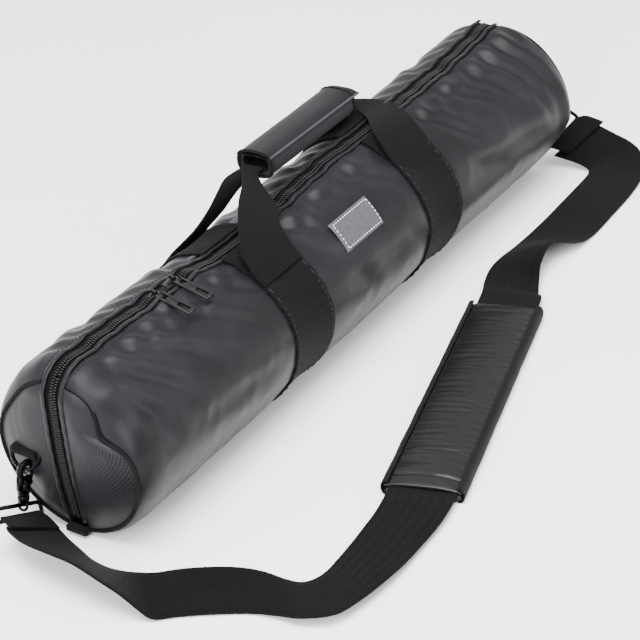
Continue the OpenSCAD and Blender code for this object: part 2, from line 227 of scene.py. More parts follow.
def woven_nylon(name, dark, light, pitch_mm, roughness, sheen, depth_mm=0.35, gloss=0.13):
    material, tree, shader = new_material(name, Roughness=roughness, Sheen_Weight=sheen,
                                          Sheen_Roughness=0.45, IOR=1.53, Specular_IOR_Level=gloss)
    u, v = cloth_axes(tree)
    slant = math_node(tree, "ADD", u, v)
    pillows = math_node(tree, "MULTIPLY", wave(tree, u, pitch_mm), wave(tree, v, pitch_mm))
    twill = wave(tree, slant, pitch_mm * 1.5)
    weave = math_node(tree, "MULTIPLY_ADD", twill, 0.45, math_node(tree, "MULTIPLY", pillows, 0.55))
    # Painted sheen: the base colour runs lighter on the weave's pillows and twill lines and in soft blotches,
    # standing in for the yarn's shine.
    weave_highlight_blotches = math_node(tree, "MULTIPLY_ADD", mottling(tree, 18.0), 0.5, math_node(tree, "MULTIPLY", weave, 0.5))
    paint(tree, shader, weave_highlight_blotches, dark, light, 0.25, 0.7)
    relief(tree, shader, weave, 0.7, depth_mm)
    return material


NYLON = woven_nylon("ballistic_nylon_woven", "#030304", "#202024", 1.5, 0.42, 0.03, 0.09)
NYLON_END = woven_nylon("ballistic_nylon_coarse", "#030304", "#222226", 1.9, 0.44, 0.03, 0.09)
LINING = woven_nylon("lining_taffeta_woven", "#26262c", "#41414a", 1.2, 0.6, 0.1, 0.15)
SATIN = woven_nylon("pad_satin_nylon_woven", "#050506", "#101012", 1.1, 0.33, 0.02, 0.1, 0.25)
print("nylons:", NYLON.name, NYLON_END.name, SATIN.name)

# %% [markdown]
# Nylon webbing is woven narrow and thick: ribs run straight across it, and a few warp lines run
# along it. It is matt and almost black. Binding tape is the same at a finer pitch.

# %% Webbing and tape


def webbing(name, dark, light, rib_mm, warp_mm, depth_mm):
    material, tree, shader = new_material(
        name, Roughness=0.8, Sheen_Weight=0.02, Sheen_Roughness=0.5, IOR=1.53, Specular_IOR_Level=0.06)
    u, v = cloth_axes(tree)
    chevron = math_node(tree, "MULTIPLY_ADD", math_node(tree, "PINGPONG", v, warp_mm), 0.35, u)
    ribs = wave(tree, chevron, rib_mm)
    warps = wave(tree, v, warp_mm)
    weave = math_node(tree, "MULTIPLY_ADD", ribs, 0.88, math_node(tree, "MULTIPLY", warps, 0.12))
    # Painted highlight: the base colour runs lighter on the raised ribs and warp lines, over soft blotches of
    # tone.
    weave_highlight_blotches = math_node(tree, "MULTIPLY_ADD", mottling(tree, 25.0), 0.4, math_node(tree, "MULTIPLY", weave, 0.6))
    paint(tree, shader, weave_highlight_blotches, dark, light, 0.2, 0.8)
    relief(tree, shader, weave, 0.8, depth_mm)
    return material


WEBBING = webbing("webbing_nylon_woven", "#020203", "#0d0d0f", 1.6, 4.0, 0.45)
TAPE = webbing("zip_tape_polyester_woven", "#020203", "#0c0c0e", 0.9, 2.2, 0.2)
BINDING = webbing("binding_tape_woven", "#050506", "#17171a", 1.2, 2.6, 0.3)
print("webbings:", WEBBING.name, TAPE.name, BINDING.name)

# %% [markdown]
# The fittings are die-cast or wire, plated in black nickel: a dark metal that mirrors the studio in
# small bright glints. The zip's coil is black nylon monofilament, smooth and a little glossy.

# %% Metals, coil, foam, thread and label


def plated(name, colour, roughness, grain):
    material, tree, shader = new_material(name, Metallic=1.0, Roughness=roughness)
    shader.inputs["Base Color"].default_value = linear(colour)
    rough = math_node(tree, "MULTIPLY_ADD", mottling(tree, grain, 5.0), 0.25, roughness - 0.1)
    tree.links.new(shader.inputs["Roughness"], rough)
    relief(tree, shader, mottling(tree, grain * 3), 0.25, 0.05)
    return material


def plain(name, dark, light, roughness, grain, depth_mm, **values):
    material, tree, shader = new_material(name, Roughness=roughness, **values)
    blotch = mottling(tree, grain, 6.0)
    paint(tree, shader, blotch, dark, light)
    relief(tree, shader, blotch, 0.5, depth_mm)
    return material


BLACK_NICKEL = plated("black_nickel_plated_zinc", "#151517", 0.26, 300.0)
BLACK_ENAMEL = plain("black_enamel_cast_zinc", "#040405", "#0a0a0b", 0.34, 250.0, 0.03,
                     Specular_IOR_Level=0.3)
COIL = plain("zip_coil_nylon_monofilament", "#060607", "#161618", 0.3, 400.0, 0.03, Specular_IOR_Level=0.35)
FOAM = plain("closed_cell_foam_cut", "#2e2e32", "#46464b", 0.85, 900.0, 0.25)
THREAD = plain("sewing_thread_polyester_twisted", "#111113", "#232327", 0.6, 900.0, 0.08,
               Specular_IOR_Level=0.25)
PIPING = webbing("piping_grosgrain_woven", "#222226", "#47474d", 1.0, 2.2, 0.2)
PALE_THREAD = plain("label_thread_polyester_twisted", "#c9c9cb", "#e6e6e7", 0.6, 900.0, 0.08)
LABEL = plain("label_leatherette_embossed", "#37383b", "#48494d", 0.55, 500.0, 0.12, Specular_IOR_Level=0.3)
MESH_CLOTH = woven_nylon("grip_neoprene_knitted", "#070708", "#26262b", 1.8, 0.75, 0.05, 0.5)
FLOOR = plain("studio_paper_matt", "#fafafa", "#ffffff", 0.9, 4.0, 0.02)
print("materials:", len(bpy.data.materials))

# %% [markdown]
# A soft surface is easiest to steer as a grid that a rule lays in space. The grid comes from an
# operator, the rule moves its points, and the same walk writes the cloth's UV map in metres.

# %% Shape helpers


def finish_mesh(mesh, name, material, smooth=True):
    """Turns a bmesh into an object with one material."""
    data = bpy.data.meshes.new(name)
    mesh.to_mesh(data)
    mesh.free()
    data.materials.append(material)
    if smooth:
        data.shade_smooth()
    piece = bpy.data.objects.new(name, data)
    bpy.context.scene.collection.objects.link(piece)
    return piece


def cloth_grid(name, material, counts, lay, flat):
    """A grid of counts cells that lay(u, v) puts in space in mm; flat is the cloth's own size in mm."""
    mesh = bmesh.new()
    bmesh.ops.create_grid(mesh, x_segments=counts[0], y_segments=counts[1], size=0.5)
    cloth = mesh.loops.layers.uv.new("cloth")
    for face in mesh.faces:
        for loop in face.loops:
            loop[cloth].uv = ((loop.vert.co.x + 0.5) * flat[0] * MM, (loop.vert.co.y + 0.5) * flat[1] * MM)
    for vert in mesh.verts:
        vert.co = Vector(lay(vert.co.x + 0.5, vert.co.y + 0.5)) * MM
    return finish_mesh(mesh, name, material)


def thicken(piece, thickness, offset=0.0):
    """Gives a sheet its real thickness."""
    solid = piece.modifiers.new("thickness", "SOLIDIFY")
    solid.thickness = thickness * MM
    solid.offset = offset
    solid.use_even_offset = False
    return piece


def bevel_edges(piece, width, segments=2):
    """Rounds the sharp edges of a piece with a modifier."""
    edge = piece.modifiers.new("edges", "BEVEL")
    edge.width = width * MM
    edge.segments = segments
    edge.limit_method = "ANGLE"
    edge.angle_limit = math.radians(50)
    return piece


def face_out(piece, outward):
    """Turns a sheet's faces to the side that outward(point) points to."""
    mesh = bmesh.new()
    mesh.from_mesh(piece.data)
    mesh.normal_update()
    if sum(f.normal.dot(outward(f.calc_center_median())) * f.calc_area() for f in mesh.faces) < 0:
        bmesh.ops.reverse_faces(mesh, faces=mesh.faces[:])
    mesh.to_mesh(piece.data)
    mesh.free()
    return piece


def place(piece, body, node_names, slot_name):
    """Lets a piece ride on a body and stand for CAD nodes, which it hides; slot_name is not used."""
    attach(piece, body)
    if node_names:
        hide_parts(*node_names.split())
    return piece


def smooth_step(x, low, high):
    t = min(max((x - low) / (high - low), 0.0), 1.0)
    return t * t * (3 - 2 * t)


def bump(x, middle, width):
    return math.exp(-((x - middle) / width) ** 2)


def spline(points, t):
    """Catmull-Rom curve through points, t from 0 to 1."""
    n = len(points) - 1
    place = min(max(t, 0.0), 1.0) * n
    i = min(int(place), n - 1)
    f = place - i
    p0, p1, p2, p3 = (Vector(points[min(max(k, 0), n)]) for k in (i - 1, i, i + 1, i + 2))
    return 0.5 * ((2 * p1) + (p2 - p0) * f + (2 * p0 - 5 * p1 + 4 * p2 - p3) * f * f
                  + (3 * p1 - p0 - 3 * p2 + p3) * f ** 3)


def polyline_length(points):
    return sum((Vector(b) - Vector(a)).length for a, b in zip(points, points[1:]))


def ridge(x, y, z, seed):
    """Noise that makes sharp soft folds, from 0 to 1."""
    return 1 - abs(noise.noise(Vector((x + seed * 7.3, y - seed * 3.1, z))))


print("shape helpers ready")

# %% [markdown]
# The tube is one rule, skin(x, a): where the cloth lies at a distance x along the bag and an angle a
# from the top, positive to the front. The rule starts from a circle, flattens it on the floor, pulls
# it in where the webbing is sewn round it, dips it beside the handles, fills it out at the far end,
# and rounds it over both ends. Then come the wrinkles: short puckers that run out of the zip and
# long slack folds between the bands. A cloth simulation would place them by chance; a rule puts
# them where the bag shows them.

# %% The tube's skin
SHOULDER_X = -282.0
SEAM_X = -303.0
FAR_ROUND_X = 288.0
FAR_FACE_X = 299.0
FAR_ROUND_RUN = FAR_FACE_X - FAR_ROUND_X
FLAT_START, FLAT_LOW = 4.0, 0.4
TOP_LINE = [(-320, 3.5), (-282, 4.0), (-250, 3.5), (-206, 1.5), (-160, -0.5), (-118, -6.5), (-70, -7.0),
            (-28, -3.0), (26, 0.5), (75, 0.0), (120, 0.5), (180, 1.0), (230, 3.0), (294, 4.5), (320, 4.5)]


def top_rise(x):
    """How far the top line stands over the plain circle at x."""
    for (x0, z0), (x1, z1) in zip(TOP_LINE, TOP_LINE[1:]):
        if x <= x1:
            return z0 + (z1 - z0) * smooth_step(x, x0, x1)
    return TOP_LINE[-1][1]


def seam_radius(a):
    """Radius of the near end's seam; it sags inwards high on the front."""
    return 61.0 - 17.0 * bump(a, 52.0, 17.0) - 5.0 * bump(a, -50.0, 25.0)


FOLDS = [
    # x and a of each end of a long slack fold, its depth and its half width in mm
    (-275, 22, -236, 62, 3.4, 7.0), (-262, 14, -205, 46, 2.6, 6.0), (-238, 12, -196, 34, 2.2, 5.0),
    (-285, 40, -262, 80, 3.0, 7.0), (-225, 40, -168, 78, 2.0, 8.0), (-205, 12, -150, 58, 2.4, 6.0),
    (-160, 10, -122, 44, 2.6, 6.0), (-66, 12, -34, 36, 2.6, 6.0), (-60, 40, -10, 96, 2.2, 8.0),
    (-30, 10, 10, 30, 2.0, 5.0), (22, 12, 66, 52, 2.4, 6.0), (30, 64, 70, 100, 2.0, 7.0),
    (128, 14, 166, 58, 2.6, 6.0), (140, 70, 205, 96, 2.2, 8.0), (170, 10, 214, 50, 2.4, 6.0),
    (212, 12, 246, 66, 3.0, 7.0), (240, 14, 268, 84, 3.4, 6.0), (262, 16, 284, 104, 3.6, 7.0),
    (-250, -18, -190, -60, 2.8, 7.0), (-150, -14, -122, -50, 2.2, 6.0), (-60, -20, 0, -70, 2.6, 8.0),
    (20, -16, 66, -60, 2.4, 7.0), (130, -20, 190, -74, 2.6, 8.0), (200, -14, 262, -60, 2.8, 7.0),
    (-240, 84, -140, 92, 1.8, 9.0), (-40, 84, 40, 90, 1.6, 9.0), (150, 82, 270, 90, 2.0, 9.0),
]


def folds_at(x, a):
    """Depth in mm of the long folds at a point of the cloth."""
    y = math.radians(a) * BAG_R
    total = 0.0
    for x0, a0, x1, a1, depth, half in FOLDS:
        y0, y1 = math.radians(a0) * BAG_R, math.radians(a1) * BAG_R
        dx, dy = x1 - x0, y1 - y0
        length2 = dx * dx + dy * dy
        t = ((x - x0) * dx + (y - y0) * dy) / length2
        if not -0.25 < t < 1.25:
            continue
        off = ((x - x0) * dy - (y - y0) * dx) / math.sqrt(length2)
        ends = smooth_step(t, -0.25, 0.15) * (1 - smooth_step(t, 0.7, 1.25))
        total += depth * ends * (bump(off, 0.0, half) - 0.55 * bump(off, 1.7 * half, half))
    return total


def flare(a):
    """How much of the far end's fullness is felt at angle a; it is on the front and the top."""
    return smooth_step(a, -30, 40) * (1 - smooth_step(a, 84, 126))


def far_radius(a):
    return 64.5 + 7.5 * flare(a)


def skin_radius(x, a):
    """Distance of the outer cloth from the tube's axis, in mm."""
    side = abs(a)
    r = BAG_R - 0.9
    r += 1.5 * math.cos(math.radians(4 * (a - 82))) * smooth_step(side, 10, 30)
    r += top_rise(x) * bump(a, 0, 42.0)
    held = max(bump(x, -BAND_X, 27.0), bump(x, BAND_X, 27.0))
    free = 1 - held
    r += 1.8 * free * smooth_step(side, 20, 50) - 1.2 * held
    pucker = math.sin(x * 0.29 + side * 0.16 + 2.2 * noise.noise(Vector((x * 0.02, a * 0.02, 1.0))))
    r += 0.8 * free * pucker * bump(side, 17.0, 14.0)
    r -= folds_at(x, a) * free * 0.85
    r += 1.5 * free * (ridge(x * 0.016 + a * 0.012, a * 0.030 - x * 0.006, 0.0, 1) - 0.75)
    r += 0.8 * free * (ridge(x * 0.045 - a * 0.03, a * 0.05 + x * 0.02, 0.0, 2) - 0.75)
    r += 6.8 * flare(a) * smooth_step(x, 215, 286)
    return r


def section_point(a, r):
    """y and z at angle a and radius r; what comes near the floor lies flat on it."""
    angle = math.radians(a)
    y, z = -r * math.sin(angle), AXIS_Z + r * math.cos(angle)
    if z < FLAT_START:
        drop = FLAT_START - FLAT_LOW
        z = FLAT_LOW + drop * math.exp((z - FLAT_START) / drop)
    return y, z


def skin(x, a, out=0.0):
    """The outer cloth at x and a, moved out by a distance in mm."""
    r = skin_radius(max(x, SHOULDER_X), a)
    if x < SHOULDER_X:
        t = min((SHOULDER_X - x) / (SHOULDER_X - SEAM_X), 1.0)
        r = seam_radius(a) + (r - seam_radius(a)) * math.sqrt(max(1 - t * t, 0.0))
    elif x > FAR_ROUND_X:
        t = min((x - FAR_ROUND_X) / FAR_ROUND_RUN, 1.0)
        r = far_radius(a) + (r - far_radius(a)) * math.sqrt(max(1 - t * t, 0.0))
    y, z = section_point(a, r + out)
    return x, y, z


def column_x(u):
    """Places of the columns along the bag: even, but closer together where the ends turn in."""
    if u < 0.06:
        return SHOULDER_X - (SHOULDER_X - SEAM_X) * math.sin(math.pi / 2 * (1 - u / 0.06))
    if u > 0.97:
        return FAR_ROUND_X + FAR_ROUND_RUN * math.sin(math.pi / 2 * (u - 0.97) / 0.03)
    return SHOULDER_X + (FAR_ROUND_X - SHOULDER_X) * (u - 0.06) / 0.91


LIP_A = 8.6
SEAM_A = 150.0
TUBE_LEN = 2 * TUBE_X + 30


def tube_outward(p):
    return Vector((0, p.y, p.z - AXIS_Z * MM))


def tube_panel(name, a0, a1, columns, rows):
    arc = abs(math.radians(a1 - a0)) * BAG_R
    return cloth_grid(name, NYLON, (columns, rows),
                      lambda u, v: skin(column_x(u), a0 + (a1 - a0) * v), (TUBE_LEN, arc))


front_cloth = tube_panel("front_cloth", LIP_A, SEAM_A, 330, 90)
back_cloth = tube_panel("back_cloth", -SEAM_A, -LIP_A, 330, 90)
base_cloth = tube_panel("base_cloth", SEAM_A, 360 - SEAM_A, 200, 24)
for piece, node in ((front_cloth, "front_panel"), (back_cloth, "back_panel"), (base_cloth, "base_panel")):
    face_out(piece, tube_outward)
    thicken(piece, 1.0, -1.0)
    place(piece, "root", node, "nylon")
    print(piece.name, len(piece.data.polygons), "faces")

# %% [markdown]
# The zip follows one line: along the top, round the near corner, and down the middle of the near
# end. zip_at(s) gives a point of that line and its outward direction at a distance s from the far
# end, so the tapes, the coil, the lips and the end panels all share it.

# %% The line of the zip
CORNER_R = 25.0
CORNER_X = SHOULDER_X - 2.0
FOOT_Z = 14.0
FAR_ZIP_X = 292.0


def top_z(x):
    return section_point(0, skin_radius(max(x, SHOULDER_X), 8.0))[1] + 0.2


TOP_RUN = FAR_ZIP_X - CORNER_X
CORNER_TOP = top_z(CORNER_X)
CORNER_RUN = math.pi / 2 * CORNER_R
DOWN_RUN = CORNER_TOP - CORNER_R - FOOT_Z
ZIP_RUN = TOP_RUN + CORNER_RUN + DOWN_RUN


def zip_at(s):
    """Point (x, z) of the zip's middle line and its outward direction, s mm from the far end."""
    if s < TOP_RUN:
        return (FAR_ZIP_X - s, top_z(FAR_ZIP_X - s)), (0.0, 1.0)
    if s < TOP_RUN + CORNER_RUN:
        angle = (s - TOP_RUN) / CORNER_R
        out = (-math.sin(angle), math.cos(angle))
        return (CORNER_X + CORNER_R * out[0], CORNER_TOP - CORNER_R + CORNER_R * out[1]), out
    down = s - TOP_RUN - CORNER_RUN
    bulge = 2.5 * math.sin(math.pi * min(down / DOWN_RUN, 1.0) * 0.8) - 3.5 * (down / DOWN_RUN) ** 2
    return (CORNER_X - CORNER_R - bulge, CORNER_TOP - CORNER_R - down), (-1.0, 0.0)


def zip_point(s, y, out=0.0):
    """A point beside the zip's middle line, moved out by a distance."""
    (x, z), normal = zip_at(s)
    return x + normal[0] * out, y, z + normal[1] * out


def end_x(z):
    """Where the near end's middle line stands at height z."""
    s = TOP_RUN + CORNER_RUN + (CORNER_TOP - CORNER_R - z)
    if z > CORNER_TOP - CORNER_R:
        rise = min((z - CORNER_TOP + CORNER_R) / CORNER_R, 1.0)
        return CORNER_X - CORNER_R * math.sqrt(max(1 - rise * rise, 0.0))
    return zip_at(min(s, ZIP_RUN))[0][0]


print(f"zip line {ZIP_RUN:.0f} mm long, {TOP_RUN:.0f} of it along the top")

# %% [markdown]
# The near end is two half panels, one each side of the zip. Each is a grid between the seam, which
# is a sagging half circle, and the zip's edge, crowned a little because foam fills it. The front
# half is the flap that opens. A roll of binding covers the seam.

# %% Near end panels and seams
INNER_Y = 9.5


def end_panel_point(side, u, v):
    """u from the seam to the zip, v from the bottom up, side -1 to the front."""
    a = (172 - 160 * v) if side < 0 else -(172 - 160 * v)
    seam_y, seam_z = section_point(a, seam_radius(a) - 0.5)
    zip_z = FOOT_Z + (CORNER_TOP - 6.0 - FOOT_Z) * smooth_step(v, -0.15, 1.15)
    y = seam_y + (side * INNER_Y - seam_y) * u
    z = seam_z + (zip_z - seam_z) * u
    seam_x = SEAM_X - 0.5
    x = seam_x + (end_x(z) - seam_x) * math.sin(math.pi / 2 * u) ** 0.8
    x -= 2.5 * math.sin(math.pi * u) * math.sin(math.pi * v)
    x += 1.3 * (ridge(y * 0.05, z * 0.035, 0.0, 4) - 0.7) * math.sin(math.pi * u)
    return x, y, z


def end_panel(name, side, body, node, material):
    piece = cloth_grid(name, material, (40, 90), lambda u, v: end_panel_point(side, u, v), (52, 118))
    face_out(piece, lambda p: Vector((-1, 0, 0)))
    thicken(piece, 4.0, -1.0)
    return place(piece, body, node, "nylon")


end_panel("near_end_flap_cloth", -1, "near_flap", "near_end_flap", NYLON_END)
end_panel("near_end_back_cloth", 1, "root", "near_end_back_panel", NYLON_END)


def cord_along(name, material, points, radius, sides=8, closed=False):
    """A round cord through points in mm, as a mesh: rings bridged along a path by a curve's bevel."""
    curve = bpy.data.curves.new(name, "CURVE")
    curve.dimensions = "3D"
    curve.bevel_depth = radius * MM
    curve.bevel_resolution = sides // 4
    line = curve.splines.new("POLY")
    line.points.add(len(points) - 1)
    for spot, point in zip(line.points, points):
        spot.co = (*(Vector(point) * MM), 1.0)
    line.use_cyclic_u = closed
    curve.use_fill_caps = True
    holder = bpy.data.objects.new(name + "_path", curve)
    bpy.context.scene.collection.objects.link(holder)
    mesh = bmesh.new()
    mesh.from_mesh(bpy.data.meshes.new_from_object(holder.evaluated_get(
        bpy.context.evaluated_depsgraph_get())))
    bpy.data.objects.remove(holder)
    bmesh.ops.remove_doubles(mesh, verts=mesh.verts, dist=1e-6)
    bmesh.ops.recalc_face_normals(mesh, faces=mesh.faces)
    length = polyline_length(points)
    cloth = mesh.loops.layers.uv.new("cloth")
    for face in mesh.faces:
        for loop in face.loops:
            loop[cloth].uv = (loop.vert.co.x + loop.vert.co.z, loop.vert.co.y)
    piece = finish_mesh(mesh, name, material)
    print(f"{name}: {length:.0f} mm")
    return piece


def seam_points(a0, a1, steps, out):
    spots = []
    for i in range(steps + 1):
        a = a0 + (a1 - a0) * i / steps
        y, z = section_point(a, seam_radius(a) + out)
        spots.append((SEAM_X - 1.2, y, max(z, 1.6)))
    return spots


front_seam = cord_along("near_seam_binding_front", BINDING, seam_points(34, 178, 90, 0.6), 1.3)
back_seam = cord_along("near_seam_binding_back", BINDING, seam_points(-10, -178, 90, 0.6), 1.3)
for piece in (front_seam, back_seam):
    place(piece, "root", "", "webbing")

# %% [markdown]
# The far end is one round panel, crowned, with the tube's cloth turned in to its seam and a roll of
# binding along it.

# %% Far end panel


def far_panel_point(u, v):
    a = 360 * v if v <= 0.5 else 360 * v - 360
    y, z = section_point(a, far_radius(a) * (1 - u) + 0.02)
    crown = 3.4 * math.sin(math.pi / 2 * u)
    slack = 1.0 * (ridge(y * 0.04, z * 0.04, 0.0, 6) - 0.7) * math.sin(math.pi * u)
    return FAR_FACE_X + crown + slack, y, z


far_end = cloth_grid("far_end_cloth", NYLON_END, (26, 120), far_panel_point, (62, 390))
face_out(far_end, lambda p: Vector((1, 0, 0)))
thicken(far_end, 3.0, -1.0)
place(far_end, "root", "far_end_panel", "nylon")
far_ring = [section_point(a - 180, far_radius(a - 180) + 0.3) for a in range(0, 360, 4)]
far_seam = cord_along("far_seam_binding", BINDING,
                      [(FAR_FACE_X + 0.5, y, max(z, 1.6)) for y, z in far_ring], 1.3, closed=True)
place(far_seam, "root", "", "webbing")

# %% [markdown]
# A coil zip is one monofilament wound round and sewn to each tape, so its face is a row of small
# rounded bars that interlock. One bar is a squashed ball; it is copied along the line of the zip,
# front and back in turn. The tapes are flat ribbons beneath, and the bag's cloth ends in a
# folded lip beside them, held by a line of topstitching.

# %% Tapes and lips
TAPE_GAP, TAPE_HALF, TAPE_DEPTH = 0.4, 11.0, -1.6
FLAP_S = TOP_RUN + CORNER_RUN * 0.45


def zip_outward(p):
    """Roughly outwards at a point near the zip: up on the top, forwards on the near end."""
    return Vector((-0.3, 0, 1)) if p.x > CORNER_X * MM else Vector((-1, 0, 0.2))


def zip_tape(name, s0, s1, side, body, node):
    """The tape on one side of the coil, side -1 to the front."""
    y0, y1 = side * TAPE_GAP, side * TAPE_HALF

    def lay(u, v):
        return zip_point(s0 + (s1 - s0) * u, y0 + (y1 - y0) * v, TAPE_DEPTH)
    piece = cloth_grid(name, TAPE, (int((s1 - s0) / 3), 4), lay, (s1 - s0, abs(y1 - y0)))
    face_out(piece, zip_outward)
    return place(thicken(piece, 0.6, -1.0), body, node, "zip_tape")


zip_tape("zip_tape_top_front", 0, FLAP_S, -1, "root", "zip_tape_front")
zip_tape("zip_tape_back_long", 0, ZIP_RUN, 1, "root", "zip_tape_back")
zip_tape("zip_tape_flap", FLAP_S, ZIP_RUN, -1, "near_flap", "flap_zip_tape")


def lip(name, s0, s1, side, body):
    """The folded edge of the cloth beside the tape: a flat roll about 4 mm wide."""
    def lay(u, v):
        s = s0 + (s1 - s0) * u
        across = (v - 0.5) * 2
        wave_out = 0.25 * math.sin(s * 0.55 + side) + 0.35 * noise.noise(Vector((s * 0.06, side, 3.0)))
        y = side * (8.2 + 1.9 * across + 0.5 * noise.noise(Vector((s * 0.03, side * 4.0, 9.0))))
        return zip_point(s, y, 0.2 + wave_out + 0.9 * math.sqrt(max(1 - across * across, 0.0)))
    piece = cloth_grid(name, NYLON, (int((s1 - s0) / 2), 8), lay, (s1 - s0, 6))
    face_out(piece, zip_outward)
    return place(thicken(piece, 0.8, -1.0), body, "", "nylon")


lip("zip_lip_front", 0, FLAP_S, -1, "root")
lip("zip_lip_flap", FLAP_S, ZIP_RUN, -1, "near_flap")
lip("zip_lip_back", 0, ZIP_RUN, 1, "root")
print(f"tapes {TAPE_HALF - TAPE_GAP:.1f} mm wide; the flap's part starts {FLAP_S:.0f} mm from the far end")

# %% [markdown]
# The bars of one side stand half a pitch away from those of the other, so the two rows interlock.

# %% The coil
COIL_PITCH = 2.0
BAR_HALF = (0.62, 2.1, 0.95)


def coil_rows(name, s0, s1, side, body, node):
    """Small bars across one side of the zip, one every pitch."""
    mesh = bmesh.new()
    count = int((s1 - s0) / COIL_PITCH)
    for i in range(count):
        s = s0 + (i + (0.25 if side > 0 else 0.75)) * COIL_PITCH
        point = Vector(zip_point(s, side * 1.6, -0.6))
        normal = Vector((zip_at(s)[1][0], 0, zip_at(s)[1][1]))
        along = Vector((normal.z, 0, -normal.x))
        frame_at = Matrix((along, Vector((0, 1, 0)), normal)).transposed().to_4x4()
        bmesh.ops.create_uvsphere(
            mesh, u_segments=6, v_segments=4, radius=1.0,
            matrix=Matrix.Translation(point * MM) @ frame_at
            @ Matrix.Diagonal((*[half * MM for half in BAR_HALF], 1)))
    piece = finish_mesh(mesh, name, COIL)
    return place(piece, body, node, "zip_nylon")


coil_rows("zip_coil_top_front", 2, FLAP_S, -1, "root", "zip_teeth_front")
coil_rows("zip_coil_back_long", 2, ZIP_RUN - 2, 1, "root", "zip_teeth_back")
coil_rows("zip_coil_flap", FLAP_S, ZIP_RUN - 2, -1, "near_flap", "flap_zip_teeth")
print("zip made")

# %% [markdown]
# The handles start as bands of webbing sewn round the tube. Each band follows the same skin rule,
# a little further out, so it lies on the cloth. Its edges are stitched down, and two rows of
# stitches across it near the zip carry the load.

# %% Bands
BAND_END_A = 147.0
BAND_FREE_A = 8.0


def on_skin(x, a, out):
    """A point moved out from the tube's cloth, without the rounding of its ends."""
    y, z = section_point(a, skin_radius(x, a) + out)
    return x, y, z


def band(name, x, side, node):
    a0 = side * BAND_FREE_A
    a1 = side * BAND_END_A

    def lay(u, v):
        a = a0 + (a1 - a0) * v
        lift = 1.9 + 2.2 * (1 - smooth_step(abs(a), 8, 26)) * (0.6 + 0.4 * math.sin(math.pi * u))
        edge = 0.35 * math.sin(a * 0.5 + x)
        return on_skin(x + WEB_W * (u - 0.5) + edge, a, lift)
    piece = cloth_grid(name, WEBBING, (12, 110), lay, (WEB_W, math.radians(BAND_END_A) * BAG_R))
    face_out(piece, tube_outward)
    thicken(piece, 1.8, -1.0)
    bevel_edges(piece, 0.5)
    return place(piece, "root", node, "webbing")


for side_name, side in (("front", 1), ("back", -1)):
    for end_name, x in (("near", -BAND_X), ("far", BAND_X)):
        band(f"band_cloth_{side_name}_{end_name}", x, side, f"band_{side_name}_{end_name}")
print(f"bands from {BAND_FREE_A:.0f} to {BAND_END_A:.0f} degrees each side of the top")

# %% [markdown]
# A stitch is a short grain of thread pressed into the cloth. A row of them follows any surface that
# a function gives.

# %% Stitching


def stitches(name, body, lines, surface, length=3.2, gap=1.6, radius=0.42, material=THREAD,
             slot_name="webbing"):
    """Rows of stitches: each a short squashed grain of thread, laid along lines of a surface."""
    mesh = bmesh.new()
    count = 0
    for p0, p1 in lines:
        a, b = Vector(surface(*p0)), Vector(surface(*p1))
        steps = max(int((b - a).length / (length + gap)), 1)
        for i in range(steps):
            t0, t1 = i / steps, (i + length / (length + gap)) / steps
            q0 = Vector(surface(*[m + (n - m) * t0 for m, n in zip(p0, p1)]))
            q1 = Vector(surface(*[m + (n - m) * t1 for m, n in zip(p0, p1)]))
            along = q1 - q0
            if along.length < 0.2:
                continue
            turn = along.to_track_quat("X", "Z").to_matrix().to_4x4()
            bmesh.ops.create_uvsphere(
                mesh, u_segments=6, v_segments=4, radius=1.0,
                matrix=Matrix.Translation((q0 + q1) / 2 * MM) @ turn
                @ Matrix.Diagonal((along.length * 0.5 * MM, radius * MM, radius * MM, 1)))
            count += 1
    piece = finish_mesh(mesh, name, material)
    print(f"{name}: {count} stitches")
    return place(piece, body, "", slot_name)


def on_band(x, a):
    return on_skin(x, a, 2.1)


band_lines = []
for middle in (-BAND_X, BAND_X):
    for side in (1, -1):
        for edge in (-1, 1):
            x = middle + edge * (WEB_W / 2 - 3.0)
            band_lines += [((x, side * a), (x, side * (a + 8.0))) for a in range(30, 144, 8)]
        left, right = middle - WEB_W / 2 + 3, middle + WEB_W / 2 - 3
        for a in (30.0, 33.0):
            band_lines.append(((left, side * a), (right, side * a)))
stitches("band_stitching", "root", band_lines, on_band)

# %% [markdown]
# The label is a small stitched patch of leatherette. It carries no mark: only its stitching.

# %% Label
LABEL_X, LABEL_A = (-32.0, 19.0), (40.0, 62.0)


def on_label(x, a, out=0.0):
    y, z = section_point(a, BAG_R + 0.9 + 1.6 + out)
    return x, y, z


def label_point(u, v):
    x = LABEL_X[0] + (LABEL_X[1] - LABEL_X[0]) * u
    edge = min(u, 1 - u, v * 0.5, (1 - v) * 0.5) * 50
    return on_label(x, LABEL_A[0] + (LABEL_A[1] - LABEL_A[0]) * v, -1.0 * (1 - smooth_step(edge, 0, 2.0)))


label = cloth_grid("label_leatherette", LABEL, (36, 20), label_point, (51, 26))
face_out(label, tube_outward)
thicken(label, 1.2, -1.0)
bevel_edges(label, 0.4)
place(label, "root", "label_patch", "label")
x0, x1, a0, a1 = LABEL_X[0] + 2.5, LABEL_X[1] - 2.5, LABEL_A[0] + 2.2, LABEL_A[1] - 2.2
frame_lines = [((x0, a0), (x1, a0)), ((x1, a0), (x1, a1)), ((x1, a1), (x0, a1)), ((x0, a1), (x0, a0))]
stitches("label_stitching", "root", frame_lines, lambda x, a: on_label(x, a, 0.1), 2.2, 1.0, 0.4,
         PALE_THREAD, "label")

# %% [markdown]
# A row of stitches runs along each side of the zip and holds the lips down.

# %% Topstitching
lip_lines = [((s, side), (s + 40, side)) for s in range(2, int(TOP_RUN), 40) for side in (-13.4, 13.4)]


def beside_zip(s, y):
    (x, z), normal = zip_at(s)
    a = math.degrees(math.asin(min(max(-y / BAG_R, -1), 1)))
    return on_skin(min(x, FAR_ROUND_X), a, 0.25) if x > SHOULDER_X else zip_point(s, y * 0.98, -0.6)


